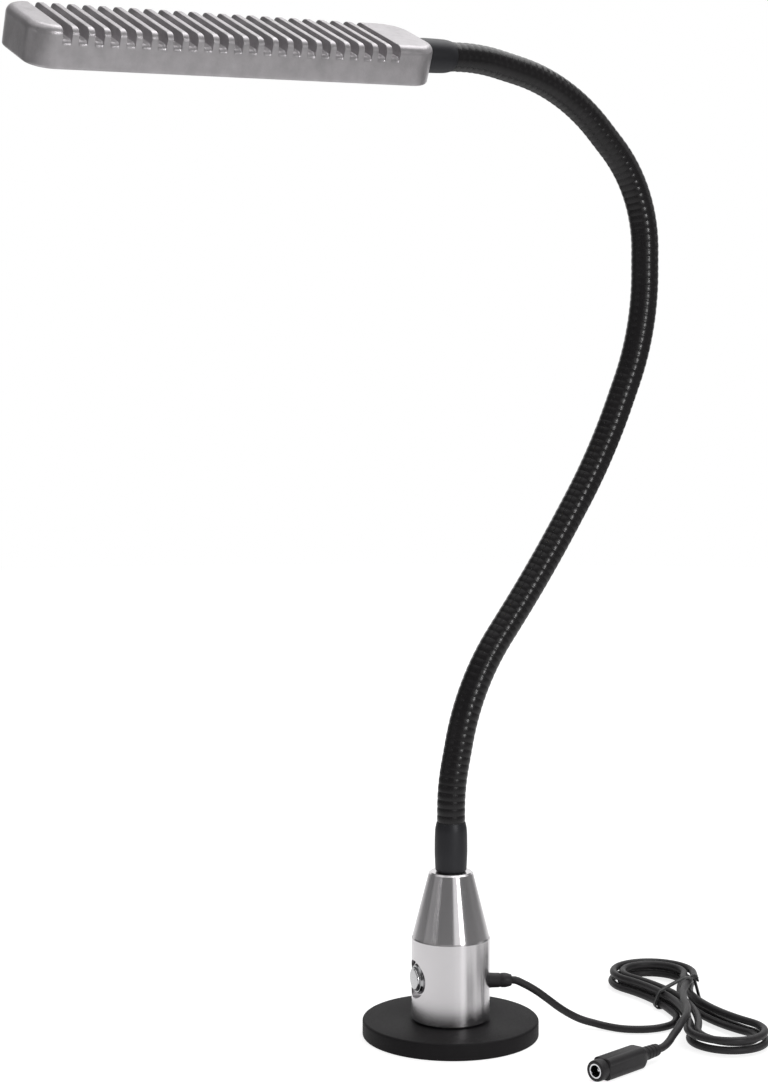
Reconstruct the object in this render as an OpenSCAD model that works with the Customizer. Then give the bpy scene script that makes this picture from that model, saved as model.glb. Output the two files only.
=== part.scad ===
// Magnetic machine work light: a finned lamp head on a gooseneck arm, a turned body with a
// push switch on a round magnetic foot, and a low-voltage cord tied in a hank.
// Sizes are millimetres. Z is up, the origin is the bottom centre of the foot, and the
// gooseneck lies in the XZ plane with the lamp head towards -X.

/* [Magnetic foot] */
// Diameter of the rubber-jacketed foot
foot_d = 88; // [78:1:110]
// Height of the foot
foot_h = 8.5; // [7.5:0.5:14]
// Rounding of the foot's edges
foot_edge_r = 1; // [0.3:0.1:2]
// Rubber over and under the metal inside
foot_skin = 1; // [0.6:0.1:1.4]
// Rubber round the edge of the back plate
foot_rim = 3; // [2:0.5:4]
// Thickness of the steel back plate
plate_t = 2; // [1:0.25:3]
// Diameter of one disc magnet
magnet_d = 14; // [8:0.5:15]
// Distance from the plate's edge to the magnets
magnet_edge = 4; // [2:0.5:6]
// Number of disc magnets
magnet_count = 10; // [4:1:10]
// Diameter of the stud that holds the body
stud_d = 6; // [4:0.5:10]

/* [Base body] */
// Diameter of the body's cylinder
body_d = 39; // [37:0.5:46]
// Height of the body's cylinder
body_h = 42; // [40:0.5:60]
// Height of the cone
cone_h = 32.5; // [28:0.5:45]
// Diameter of the cone's flat top
cone_top_d = 22; // [20:0.5:26]
// Wall of the cylinder
body_wall = 3.5; // [2.5:0.25:4]
// Thickness of metal at the top of the cone
roof_t = 11; // [7:0.5:13]
// Chamfer at the foot, shoulder and top of the body
body_edge = 0.8; // [0.3:0.1:1.2]
// Height of the plug in the body's bottom
plug_h = 8; // [5:0.5:9]

/* [Push switch] */
// Direction of the switch round the body
switch_turn = 168; // [160:1:190]
// Height of the switch above the foot
switch_up = 21.5; // [20:0.5:26]
// Diameter of the spot face
spot_d = 19; // [18:0.25:20]
// Depth of the spot face
spot_depth = 2.5; // [1.8:0.1:3]
// Thickness of metal behind the spot face
spot_wall = 4.2; // [3.5:0.1:5]
// Diameter of the bright bezel
bezel_d = 15; // [14.5:0.25:17]
// Height of the bezel
bezel_h = 1.6; // [1:0.1:2]
// Diameter of the threaded barrel
barrel_d = 13; // [12.5:0.25:14]
// Diameter of the button
button_d = 11; // [8:0.25:11.5]
// Height of the button over the bezel
button_proud = 1.5; // [1:0.1:2]
// Travel of the button
button_travel = 1.2; // [0.8:0.1:1.5]
// Clearance round the button
button_gap = 0.25; // [0.2:0.05:0.35]
// Thickness of the switch's nut
switch_nut_h = 3; // [2:0.5:4]
// Diameter of the spring's wire
spring_wire_d = 0.6; // [0.4:0.05:0.8]

/* [Cord outlet] */
// Diameter of the cord
cord_d = 3.8; // [3.6:0.1:4.2]
// Direction of the outlet round the body
relief_turn = -30; // [-45:1:-15]
// Height of the outlet above the foot
relief_up = 19; // [14:0.5:24]
// Length of the strain relief outside the body
relief_len = 11; // [8:0.5:20]
// Diameter of the strain relief at the body
relief_d = 7.5; // [7:0.25:9]
// Diameter of the strain relief at its tip
relief_tip_d = 5.8; // [5.5:0.1:6.5]
// Diameter of one wire inside the lamp
wire_d = 1.6; // [1:0.1:1.8]

/* [Hank] */
// Half the length of the hank
hank_half_l = 75; // [71:1:79]
// Radius of the hank's round ends
hank_end_r = 22.5; // [21.5:0.5:24.5]
// Half the width of the hank at its waist
hank_waist = 9.8; // [9.7:0.1:11.4]
// Distance between turns that lie side by side
hank_step = 5; // [4.9:0.1:5.1]
// Height between the two layers of turns
hank_layer = 4.8; // [4.7:0.1:5]
// Width of the tie round the hank
tie_w = 4; // [3:0.5:6]
// Thickness of the tie
tie_t = 0.7; // [0.5:0.05:0.7]

/* [Cord socket] */
// Width of the moulded socket
jack_w = 10.4; // [9.6:0.1:10.4]
// Rounding of its long edges
jack_edge_r = 2.6; // [1.5:0.1:3.5]
// Length of the round collar at the mouth
jack_collar_l = 4; // [2:0.5:6]
// Length of the moulded body behind the collar
jack_body_l = 27; // [22:0.5:27]
// Length of the tapered end of the body
jack_taper_l = 3; // [2:0.5:3]
// Length of the socket's own strain relief
jack_relief_l = 12; // [8:0.5:12]
// Diameter of that strain relief
jack_relief_d = 6.8; // [6:0.1:7.5]
// Bore of the socket
jack_bore_d = 5.7; // [5.6:0.05:5.9]
// Depth of the socket
jack_depth = 10.5; // [9.5:0.5:12]
// Wall of the metal sleeve in the mouth
jack_sleeve_t = 1; // [0.6:0.1:1.2]
// Width and height of the sleeve's bright lip
jack_lip = 0.6; // [0.4:0.1:0.7]
// Diameter of the centre pin
jack_pin_d = 2.1; // [1.9:0.05:2.5]
// Distance from the mouth to the pin's tip
jack_pin_in = 1.5; // [1:0.1:2.5]

/* [Gooseneck] */
// Length of the gooseneck between its ferrules
arm_len = 480; // [420:5:600]
// Outer diameter of the ribbed sleeve
arm_d = 14; // [13.6:0.1:15]
// Distance from rib to rib
rib_pitch = 3.7; // [3.6:0.1:5]
// Depth of the valleys between ribs
rib_depth = 0.5; // [0.2:0.05:0.6]
// Inner diameter of the sleeve, across its corners
sleeve_bore_d = 11.5; // [11.4:0.1:11.8]
// Diameter of the steel core
core_d = 10.4; // [10:0.1:10.4]
// Diameter of the ball at each link
ball_d = 8.6; // [8:0.1:8.6]
// Clearance between ball and seat
ball_gap = 0.15; // [0.1:0.05:0.2]
// Open length of sleeve at each link
link_gap = 3.8; // [3.6:0.1:4.4]
// Diameter of the lead in the core
lead_d = 3; // [2.4:0.1:3.2]
// Clearance round the lead
lead_gap = 0.3; // [0.2:0.05:0.4]
// Diameter of the smooth ferrules
ferrule_d = 16.2; // [15.6:0.1:17]
// Length of the ferrules
ferrule_len = 25; // [21:0.5:30]
// Rounding of the ferrules' edges
ferrule_edge_r = 1.2; // [0.5:0.1:1.4]
// Diameter of the threaded nipples
nipple_d = 10; // [9:0.1:10.2]
// Length of nipple inside a ferrule
nipple_in = 10; // [6:0.5:14]
// Width across flats of the nipple's nut
nipple_nut_w = 15; // [13:0.5:16]
// Thickness of the nipple's nut
nipple_nut_h = 5; // [3:0.5:6]

/* [Lamp head] */
// Width of the head
head_w = 43.5; // [37:0.5:46]
// Height of the head
head_h = 18.7; // [18.6:0.1:24]
// Number of cross slots
slot_count = 23; // [12:1:28]
// Distance from slot to slot
slot_pitch = 7.5; // [7:0.1:9]
// Width of a slot
slot_w = 4.6; // [3:0.1:5.2]
// Depth of a slot
slot_depth = 5.75; // [4:0.25:7.5]
// Rounding at the bottom of a slot
slot_floor_r = 0.8; // [0.3:0.1:1.2]
// Distance from the free end to the first slot
tip_block = 15; // [13:0.5:20]
// Distance from the last slot to the gooseneck's end
root_block = 25.5; // [24:0.5:31]
// Corner radius at the free end, seen from above
tip_corner_r = 11.5; // [5:0.5:12]
// Corner radius at the gooseneck's end, seen from above
root_corner_r = 13; // [10:0.5:16]
// Rounding of the top edges
head_top_r = 3; // [1.5:0.1:4]
// Rounding of the bottom edges
head_bottom_r = 1.5; // [0.5:0.1:1.8]
// Turn of the head about its own length
head_roll = 22.5; // [0:0.5:45]
// Depth of the hollow under the head
hollow_depth = 7.8; // [7.4:0.1:7.9]
// Rim of the head round the lens
lens_rim = 2; // [1.8:0.1:3]
// Thickness of the lens
lens_t = 2; // [1.5:0.1:2.5]
// Thickness of the gasket
gasket_t = 0.8; // [0.5:0.1:1.2]
// Width of the ledge that carries the gasket
ledge_w = 4.5; // [4:0.1:5]
// Thickness of the light board
board_t = 1.6; // [1:0.1:2]
// Number of light chips in one row
chip_count = 22; // [8:1:24]
// Length, width and height of one light chip
chip_size = [3.5, 2.8, 0.8];
// Diameter of the screws in the lens
screw_d = 2.5; // [2:0.1:2.8]

/* [Hidden] */
$fn = 64;
// Clearance of pieces that are pressed, moulded or screwed together
fit_gap = 0.05;
// Clearance of pieces that are pushed together by hand
slip_gap = 0.1;
// Overlap of two shapes that make one solid
weld = 0.5;
arm_joints = 7;
// Turn of each length of gooseneck, from the body to the head, in degrees
link_bends = [-12, -26, 4.5, 10.5, 23.5, 45, 33, 12.5];

// Foot and body
plate_d = foot_d - 2 * foot_rim;
plate_z = foot_h - foot_skin - plate_t;
magnet_h = plate_z - foot_skin;
magnet_ring_r = plate_d / 2 - magnet_edge - magnet_d / 2;
body_r = body_d / 2;
hollow_r = body_r - body_wall;
shoulder_z = foot_h + body_h;
body_top_z = shoulder_z + cone_h;
roof_z = body_top_z - roof_t;
neck_r = nipple_nut_w / 2 / cos(30) + 0.6;
stud_top_z = foot_h + plug_h - 1;

// Switch, as distances from the body's axis
switch_z = foot_h + switch_up;
spot_x = body_r - spot_depth;
pad_x = spot_x - spot_wall;
bezel_x = spot_x + bezel_h;
button_x = bezel_x + button_proud;
switch_nut_x = pad_x - switch_nut_h;
barrel_x = switch_nut_x - 1;
carrier_x = barrel_x - 4;
carrier_front_x = barrel_x + 1.5;
contact_x = carrier_x - 4;
contact_apart = 5;
contact_size = [2.4, 0.6];
barrel_bore_d = button_d + 2 * button_gap;
cap_in = 3.2;
cap_back_x = bezel_x - cap_in;
stem_d = button_d * 0.3;
stem_x = carrier_front_x + button_travel + 0.4;
spring_r = stem_d / 2 + spring_wire_d / 2 + 0.4;
spring_turns = 4;

// Cord outlet
relief_z = foot_h + relief_up;
relief_dir = [cos(relief_turn), sin(relief_turn), 0];
relief_flange_d = relief_d + 2.5;
relief_flange_x = sqrt(pow(hollow_r, 2) - pow(relief_flange_d / 2, 2)) - slip_gap;
relief_flange_t = 2;
relief_in_x = relief_flange_x - relief_flange_t;
relief_end_x = body_r + relief_len;
relief_end = relief_end_x * relief_dir + [0, 0, relief_z];
stub_in_x = relief_in_x - 1;

// The hank: four arcs drawn in at the waist, wound in two layers that spiral in and out again
hank_centre = [122.5, -36];
hank_turn = -108;
hank_z = 3;
hank_wound = 3.37;
hank_reverse = 3.5;
hank_climb = [1.5, 2];
hank_rings = 24;
hank_sides = 6;
hank_c = hank_half_l - hank_end_r;
hank_waist_r = (pow(hank_c, 2) + pow(hank_waist, 2) - pow(hank_end_r, 2)) / 2 / (hank_end_r - hank_waist);
waist_angle = 90 - atan2(hank_waist + hank_waist_r, hank_c);
end_angle = 90 + waist_angle;
waist_l = hank_waist_r * waist_angle * PI / 180;
end_l = 2 * hank_end_r * end_angle * PI / 180;
hank_round = 4 * waist_l + 2 * end_l;
hank_first = hank_point(0);
hank_last = hank_point(hank_wound);
hank_in_dir = unit(hank_point(0.001) - hank_first);
hank_out_dir = unit(hank_last - hank_point(hank_wound - 0.001));
hank_in = hank_first - cord_d * hank_in_dir;
hank_out = hank_last + cord_d * hank_out_dir;
hank_line = concat([hank_in], [for (i = [0 : hank_rings * hank_wound]) hank_point(i / hank_rings)],
                   [hank_last, hank_out]);

// Cord socket
jack_turn = 13.6;
jack_mouth = [17.3, -97.5, 5.2];
jack_dir = [cos(jack_turn), sin(jack_turn), 0];
jack_body_x = jack_collar_l + jack_body_l;
jack_taper_x = jack_body_x + jack_taper_l;
jack_end_x = jack_taper_x + jack_relief_l;
jack_rear = jack_mouth + jack_end_x * jack_dir;
jack_collar_d = jack_w - 0.2;
jack_seat_d = jack_bore_d + 2 * jack_sleeve_t;
jack_pin_seat = 3;
jack_pin_neck_l = 1;
jack_pin_neck_d = jack_pin_d - 0.4;
jack_pin_root_d = jack_pin_d + 0.5;

// The cord's free route: from the strain relief down to the floor and on to the hank
cord_sides = 8;
run_route = concat(
    [relief_end, relief_end + 1.2 * relief_dir],
    [[31.5, -18.2, 25.6], [37, -21, 22], [43, -23, 17.2], [49, -24, 12.4], [55, -24.5, 8.3], [61, -26.5, 4.9],
     [66.5, -30.5, 3], [70.5, -36.5, 2.2], [74.5, -43.5, 2.15], [80.5, -48.5, 2.15],
     [87.5, -51.5, 2.15], [94.5, -52, 2.15], [101, -50.5, 2.2], [106.5, -46.5, 2.6],
     hank_in - cord_d * hank_in_dir, hank_in]);
// From the hank over its waist, along the top of its near turns, down and into the socket
tail_route = concat(
    [hank_out, hank_out + cord_d * hank_out_dir],
    [[144.5, -12.5, 9.8], [138, -19, 12.2], [130.5, -25.5, 13.3], [123.5, -32, 13.5],
     [117, -38.5, 13.5], [112, -45, 13.5], [107, -52, 13.5], [102.5, -59.5, 13.5],
     [97, -66.5, 13.4], [91.5, -72, 12.9], [86, -75.5, 12], [81.5, -78.5, 10.3],
     [77, -80.5, 8.4], [72.5, -83, 6.6], jack_rear + cord_d * jack_dir, jack_rear]);

// Gooseneck: half a link at each end and whole links between the joints
arm_z = body_top_z + ferrule_len;
link_pitch = arm_len / arm_joints;
sleeve_sides = 8;
rib_r = arm_d / 2;
valley_r = rib_r - rib_depth;
core_r = core_d / 2;
lead_bore_r = lead_d / 2 + lead_gap;
neck_d = ball_d * 0.68;
seat_rim = 0.8;
link_shoulder = 3.2;
link_straight = 6;
lead_end = 2.5;
lead_stop = ball_d / 2 + lead_gap;
ferrule_bore_d = core_d + 2 * slip_gap;
nipple_low_z = roof_z - nipple_nut_h - 1.5;
ferrule_seat = 5.9;
nipple_seat = ferrule_seat + 5;

// Lamp head, with X from the gooseneck's end to the free end and Z up through the fins
head_l = root_block + (slot_count - 1) * slot_pitch + tip_block;
lens_z = -head_h / 2 + 0.2;
gasket_z = lens_z + lens_t;
ledge_z = gasket_z + gasket_t;
hollow_z = -head_h / 2 + hollow_depth;
lens_root_in = max(lens_rim, ferrule_seat + 1);
hollow_in = lens_rim + ledge_w;
hollow_root_in = max(hollow_in, nipple_seat + 4);
board_in = hollow_in + 1;
board_root_in = hollow_root_in + 1;
board_z = hollow_z - board_t;
screw_y = head_w / 2 - lens_rim - ledge_w / 2;
screw_x = [lens_root_in + root_corner_r, head_l / 2, head_l - tip_corner_r - 3];
screw_head_d = screw_d * 1.5;
screw_head_h = 1.1;
screw_l = 4;
board_screw_d = 2;
board_screw_x = [board_root_in + 7, head_l - board_in - 4];
board_screw_l = 2;
board_screw_head_h = 1.2;
chip_row_y = 5;
chip_from_x = board_root_in + 13;
chip_to_x = head_l - board_in - 12;
lead_drop_x = hollow_root_in + 2;

// Vectors
function unit(v) = v / norm(v);
function total(list, n, i = 0) = i >= n ? 0 : list[i] + total(list, n, i + 1);

// A ring of points round a place on a line that heads along dir and never along lean
function ring(at, dir, r, sides, lean) =
    let (side = unit(cross(dir, lean)), up = cross(dir, side))
    [for (i = [0 : sides - 1]) at + r * cos(360 * i / sides) * side + r * sin(360 * i / sides) * up];

// Triangles between neighbouring rings, closed on itself or with flat caps
function skin(rings, sides, closed) =
    let (last = closed ? rings - 1 : rings - 2)
    [for (j = [0 : last], i = [0 : sides - 1])
        let (a = j * sides + i, b = j * sides + (i + 1) % sides, n = ((j + 1) % rings) * sides)
        each [[a, n + (i + 1) % sides, b], [a, n + i, n + (i + 1) % sides]]];
function caps(rings, sides) =
    let (n = (rings - 1) * sides)
    [for (i = [1 : sides - 2]) each [[0, i, i + 1], [n, n + i + 1, n + i]]];

// A round tube swept along a line of points
module swept_tube(line, r, sides, lean = [0, 0, 1]) {
    last = len(line) - 1;
    points = [for (i = [0 : last])
        each ring(line[i], unit(line[min(i + 1, last)] - line[max(i - 1, 0)]), r, sides, lean)];
    polyhedron(points, concat(skin(last + 1, sides, false), caps(last + 1, sides)));
}

// Places along the hank, counted in turns from where the cord comes in
function hank_offset(t) = hank_step * min(t, hank_reverse - t);
function ease(x) = x <= 0 ? 0 : x >= 1 ? 1 : x * x * (3 - 2 * x);
function hank_flat(s, o) =
    let (re = hank_end_r - o, rw = hank_waist_r + o, w = hank_waist + hank_waist_r, deg = 180 / PI)
    s < waist_l ?
        let (g = s / hank_waist_r * deg) [-rw * sin(g), rw * cos(g) - w] :
    s < waist_l + end_l ?
        let (g = end_angle - (s - waist_l) / hank_end_r * deg) [-hank_c - re * cos(g), -re * sin(g)] :
    s < 3 * waist_l + end_l ?
        let (g = (s - 2 * waist_l - end_l) / hank_waist_r * deg) [rw * sin(g), w - rw * cos(g)] :
    s < 3 * waist_l + 2 * end_l ?
        let (g = end_angle - (s - 3 * waist_l - end_l) / hank_end_r * deg)
            [hank_c + re * cos(g), re * sin(g)] :
        let (g = (hank_round - s) / hank_waist_r * deg) [rw * sin(g), rw * cos(g) - w];
function hank_place(p, q, z) =
    [hank_centre.x + p * cos(hank_turn) - q * sin(hank_turn),
     hank_centre.y + p * sin(hank_turn) + q * cos(hank_turn), z];
function hank_point(t) =
    let (flat = hank_flat((t - floor(t)) * hank_round, hank_offset(t)),
         climb = ease((t - hank_climb[0]) / (hank_climb[1] - hank_climb[0])))
    hank_place(flat.x, flat.y, hank_z + hank_layer * climb);

// Least gap of the wound cord to itself, measured between points on its turns
hank_fine = [for (i = [0 : len(hank_line) - 2], f = [0 : 0.25 : 0.75])
    (1 - f) * hank_line[i] + f * hank_line[i + 1]];
function hank_gap() =
    min([for (i = [0 : len(hank_fine) - 1], j = [i + 24 : 1 : len(hank_fine) - 1])
        norm(hank_fine[i] - hank_fine[j])]) - cord_d;

// The gooseneck's line: each link is an arc between two short straight ends
function link_l(k) = k == 0 || k == arm_joints ? link_pitch / 2 : link_pitch;
function arc_l(k) = link_l(k) - 2 * link_straight;
function link_heading(k) = 90 + total(link_bends, k);
function chord(l, bend) = abs(bend) < 0.01 ? l : l * sin(bend / 2) / (bend / 2 * PI / 180);

// A place on a link and its turn there, in the link's own frame, where Z is its first direction
function link_turn(k, s) = link_bends[k] * min(max((s - link_straight) / arc_l(k), 0), 1);
function on_arc(l, bend) = let (c = chord(l, bend)) [-c * sin(bend / 2), 0, c * cos(bend / 2)];
function on_link(k, s) =
    let (arc_s = min(max(s - link_straight, 0), arc_l(k)), turn = link_turn(k, s))
    [0, 0, min(s, link_straight)] + on_arc(arc_s, turn)
        + max(s - link_straight - arc_l(k), 0) * [-sin(turn), 0, cos(turn)];
function link_start(k) =
    k == 0 ? [0, arm_z] :
    let (end = on_link(k - 1, link_l(k - 1)), h = link_heading(k - 1))
    link_start(k - 1) + [end.x * sin(h) + end.z * cos(h), end.z * sin(h) - end.x * cos(h)];

module at_link(k) {
    place = link_start(k);
    translate([place[0], 0, place[1]])
        rotate([0, 90 - link_heading(k), 0])
            children();
}

module at_arm_end() {
    at_link_end(arm_joints)
        children();
}

module at_link_end(k) {
    at_link(k)
        translate(on_link(k, link_l(k)))
            rotate([0, -link_bends[k], 0])
                children();
}

// The curved part of a link, swept round from its flat outline
module link_arc(k) {
    bend = link_bends[k];
    radius = arc_l(k) / (abs(bend) * PI / 180);
    at_link(k)
        translate([0, 0, link_straight])
            mirror([bend < 0 ? 1 : 0, 0, 0])
                translate([-radius, 0, 0])
                    rotate([90, 0, 0])
                        rotate_extrude(angle = abs(bend))
                            translate([radius, 0])
                                children();
}

module at_switch() {
    translate([0, 0, switch_z])
        rotate([0, 0, switch_turn])
            rotate([0, 90, 0])
                children();
}

module at_relief() {
    translate([0, 0, relief_z])
        rotate([0, 0, relief_turn])
            rotate([0, 90, 0])
                children();
}

module at_jack() {
    translate(jack_mouth)
        rotate([0, 0, jack_turn])
            rotate([0, 90, 0])
                children();
}

module at_head() {
    at_arm_end()
        translate([0, 0, ferrule_len - ferrule_seat])
            rotate([0, 0, -head_roll])
                rotate(a = 180, v = [1, 0, 1])
                    children();
}

module hex_nut(across, h, bore) {
    difference() {
        cylinder(d = across / cos(30), h = h, $fn = 6);
        translate([0, 0, -1])
            cylinder(d = bore, h = h + 2);
    }
}

// Foot
module magnet_places() {
    for (i = [0 : magnet_count - 1])
        rotate([0, 0, 360 * i / magnet_count])
            translate([magnet_ring_r, 0, foot_skin])
                children();
}

module magnet_jacket() {
    color("#232325")
        difference() {
            rotate_extrude()
                union() {
                    square([foot_d / 2 - foot_edge_r, foot_h]);
                    translate([0, foot_edge_r])
                        square([foot_d / 2, foot_h - 2 * foot_edge_r]);
                    for (z = [foot_edge_r, foot_h - foot_edge_r])
                        translate([foot_d / 2 - foot_edge_r, z])
                            circle(foot_edge_r);
                }
            translate([0, 0, plate_z])
                cylinder(d = plate_d + 2 * fit_gap, h = plate_t);
            magnet_places()
                cylinder(d = magnet_d + 2 * fit_gap, h = magnet_h + plate_t / 2);
            translate([0, 0, plate_z])
                cylinder(d = stud_d + 2 * fit_gap, h = foot_h);
        }
}

module magnet_plate() {
    color("#8a8d90")
        translate([0, 0, plate_z])
            difference() {
                cylinder(d = plate_d, h = plate_t);
                translate([0, 0, -1])
                    cylinder(d = stud_d + 2 * fit_gap, h = plate_t + 2);
            }
}

module magnet_discs() {
    color("#b9bcc0")
        magnet_places()
            cylinder(d = magnet_d, h = magnet_h);
}

module foot_stud() {
    color("#9fa3a6")
        translate([0, 0, plate_z])
            cylinder(d = stud_d, h = stud_top_z - plate_z);
}

// Body
module body_plug() {
    color("#a8abad")
        translate([0, 0, foot_h])
            difference() {
                cylinder(r = hollow_r - fit_gap, h = plug_h);
                translate([0, 0, -1])
                    cylinder(d = stud_d + 2 * fit_gap, h = plug_h + 2);
            }
}

module base_body() {
    top_r = cone_top_d / 2;
    hole_r = nipple_d / 2 + fit_gap;
    color("#c9cacc")
        difference() {
            union() {
                rotate_extrude()
                    polygon([[hollow_r, foot_h], [body_r - body_edge, foot_h], [body_r, foot_h + body_edge],
                             [body_r, shoulder_z - body_edge], [body_r - body_edge / 2, shoulder_z],
                             [top_r, body_top_z - body_edge], [top_r - body_edge, body_top_z],
                             [hole_r, body_top_z], [hole_r, roof_z], [neck_r, roof_z],
                             [neck_r, shoulder_z], [hollow_r, shoulder_z - body_edge]]);
                at_switch()
                    translate([0, 0, pad_x])
                        cylinder(d = spot_d, h = spot_wall - weld);
            }
            at_switch()
                translate([0, 0, spot_x])
                    cylinder(d = spot_d, h = body_d);
            at_switch()
                cylinder(d = barrel_d + 2 * fit_gap, h = body_d);
            at_relief()
                cylinder(d = relief_d + 2 * fit_gap, h = body_d);
        }
}

// Switch
module switch_bezel() {
    color("#d6d7d9")
        at_switch()
            difference() {
                union() {
                    translate([0, 0, barrel_x])
                        cylinder(d = barrel_d, h = bezel_x - barrel_x);
                    translate([0, 0, spot_x])
                        cylinder(d1 = bezel_d, d2 = bezel_d - bezel_h, h = bezel_h);
                }
                translate([0, 0, barrel_x - 1])
                    cylinder(d = barrel_bore_d, h = body_d);
            }
}

module switch_nut() {
    color("#b0a070")
        at_switch()
            translate([0, 0, switch_nut_x])
                rotate([0, 0, 30])
                    hex_nut(barrel_d + 2.5, switch_nut_h, barrel_d + 2 * fit_gap);
}

module switch_carrier() {
    color("#2b2b2d")
        at_switch()
            difference() {
                translate([0, 0, carrier_x])
                    cylinder(d = barrel_bore_d - 2 * fit_gap, h = carrier_front_x - carrier_x);
                translate([0, 0, carrier_x + 1])
                    cylinder(d = stem_d + 2 * button_gap, h = carrier_front_x);
            }
}

module switch_contacts() {
    color("#c7a64a")
        at_switch()
            for (side = [-1, 1])
                translate([side * contact_apart / 2, 0, (contact_x + carrier_x) / 2])
                    cube([contact_size[1], contact_size[0], carrier_x - contact_x], center = true);
}

module switch_spring() {
    rest = cap_back_x - carrier_front_x - spring_wire_d;
    steps = spring_turns * 8;
    line = [for (i = [0 : steps])
        [spring_r * cos(45 * i), spring_r * sin(45 * i),
         carrier_front_x + spring_wire_d / 2 + rest * i / steps]];
    color("#b7babd")
        at_switch()
            swept_tube(line, spring_wire_d / 2, 6);
}

module switch_button() {
    crown = 0.5;
    color("#c4c6c8")
        at_switch()
            union() {
                translate([0, 0, cap_back_x])
                    cylinder(d = button_d, h = button_x - crown - cap_back_x);
                translate([0, 0, button_x - crown])
                    cylinder(d1 = button_d, d2 = button_d - 2 * crown, h = crown);
                translate([0, 0, stem_x])
                    cylinder(d = stem_d, h = cap_back_x - stem_x + weld);
            }
}

// Wiring of the base: the cord's held end, a wire to the switch and a wire up to the arm
module base_wires() {
    out = [cos(switch_turn), sin(switch_turn), 0];
    tab_x = contact_x - wire_d / 2 - slip_gap;
    low_tab = tab_x * out + [0, 0, switch_z - contact_apart / 2];
    high_tab = tab_x * out + [0, 0, switch_z + contact_apart / 2];
    stub_end = stub_in_x * relief_dir + [0, 0, relief_z];
    wire_top = [0, 0, nipple_low_z];
    color("#1c1c1e")
        at_relief()
            translate([0, 0, stub_in_x])
                cylinder(d = cord_d, h = relief_end_x - stub_in_x);
    color("#8c2f2a") {
        swept_tube([stub_end + weld * relief_dir, stub_end - 2 * relief_dir,
                    (stub_end + low_tab) / 2 - [0, 0, 1], low_tab + 2 * relief_dir, low_tab],
                   wire_d / 2, cord_sides, [0, 1, 0]);
        swept_tube([high_tab, high_tab + [2, 0, 1], high_tab + [4, 0, 5], wire_top + [3, 0, -14],
                    wire_top + [1, 0, -6], wire_top - [0, 0, 2], wire_top],
                   wire_d / 2, cord_sides, [0, 1, 0]);
    }
}

module cord_relief() {
    lip_l = 1.2;
    color("#1b1b1d")
        at_relief()
            difference() {
                union() {
                    translate([0, 0, relief_in_x])
                        cylinder(d = relief_flange_d, h = relief_flange_t);
                    translate([0, 0, relief_in_x])
                        cylinder(d = relief_d, h = body_r + 1 - relief_in_x);
                    translate([0, 0, body_r + 1])
                        cylinder(d1 = relief_d, d2 = relief_tip_d, h = relief_len - 1);
                    translate([0, 0, relief_end_x - lip_l])
                        cylinder(d = relief_tip_d + 0.5, h = lip_l);
                }
                translate([0, 0, relief_in_x - 1])
                    cylinder(d = cord_d + 2 * fit_gap, h = relief_end_x);
            }
}

// Ends of the gooseneck
module ferrule() {
    color("#18181a")
        rotate_extrude()
            difference() {
                union() {
                    square([ferrule_d / 2 - ferrule_edge_r, ferrule_len]);
                    translate([0, ferrule_edge_r])
                        square([ferrule_d / 2, ferrule_len - 2 * ferrule_edge_r]);
                    for (z = [ferrule_edge_r, ferrule_len - ferrule_edge_r])
                        translate([ferrule_d / 2 - ferrule_edge_r, z])
                            circle(ferrule_edge_r);
                }
                translate([0, -1])
                    square([ferrule_bore_d / 2, ferrule_len + 2]);
            }
}

module nipple(length) {
    color("#b0a070")
        difference() {
            cylinder(d = nipple_d, h = length);
            translate([0, 0, -1])
                cylinder(r = lead_bore_r, h = length + 2);
        }
}

module lower_ferrule() {
    translate([0, 0, body_top_z])
        ferrule();
}

module lower_nipple() {
    translate([0, 0, nipple_low_z])
        nipple(body_top_z + nipple_in - nipple_low_z);
}

module lower_nut() {
    color("#b0a070")
        translate([0, 0, roof_z - nipple_nut_h])
            hex_nut(nipple_nut_w, nipple_nut_h, nipple_d + 2 * fit_gap);
}

module upper_ferrule() {
    at_arm_end()
        ferrule();
}

module upper_nipple() {
    at_arm_end()
        translate([0, 0, ferrule_len - nipple_in])
            nipple(nipple_in - ferrule_seat + nipple_seat);
}

// Gooseneck links: a core with a ball at its start and a seat at its end
module core_start(first) {
    tail_l = ferrule_len - nipple_in;
    top = link_straight + weld;
    rotate_extrude()
        difference() {
            union() {
                if (first)
                    translate([0, -tail_l])
                        square([core_r, tail_l + top]);
                else {
                    intersection() {
                        circle(d = ball_d);
                        translate([0, -ball_d])
                            square(2 * ball_d);
                    }
                    square([neck_d / 2, link_shoulder + weld]);
                    translate([0, link_shoulder])
                        square([core_r, top - link_shoulder]);
                }
            }
            translate([-1, -tail_l - 1])
                square([1 + lead_bore_r, tail_l + top + 2]);
        }
}

module core_end(last) {
    low = link_straight + weld;
    high = last ? ferrule_len - nipple_in : -seat_rim;
    rotate_extrude()
        difference() {
            translate([lead_bore_r, -low])
                square([core_r - lead_bore_r, low + high]);
            if (!last)
                circle(d = ball_d + 2 * ball_gap);
        }
}

module arm_core(k) {
    color("#6f7276")
        union() {
            at_link(k)
                core_start(k == 0);
            link_arc(k)
                difference() {
                    circle(core_r - 2 * slip_gap);
                    circle(lead_bore_r + slip_gap);
                }
            at_link_end(k)
                core_end(k == arm_joints);
        }
}

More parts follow.
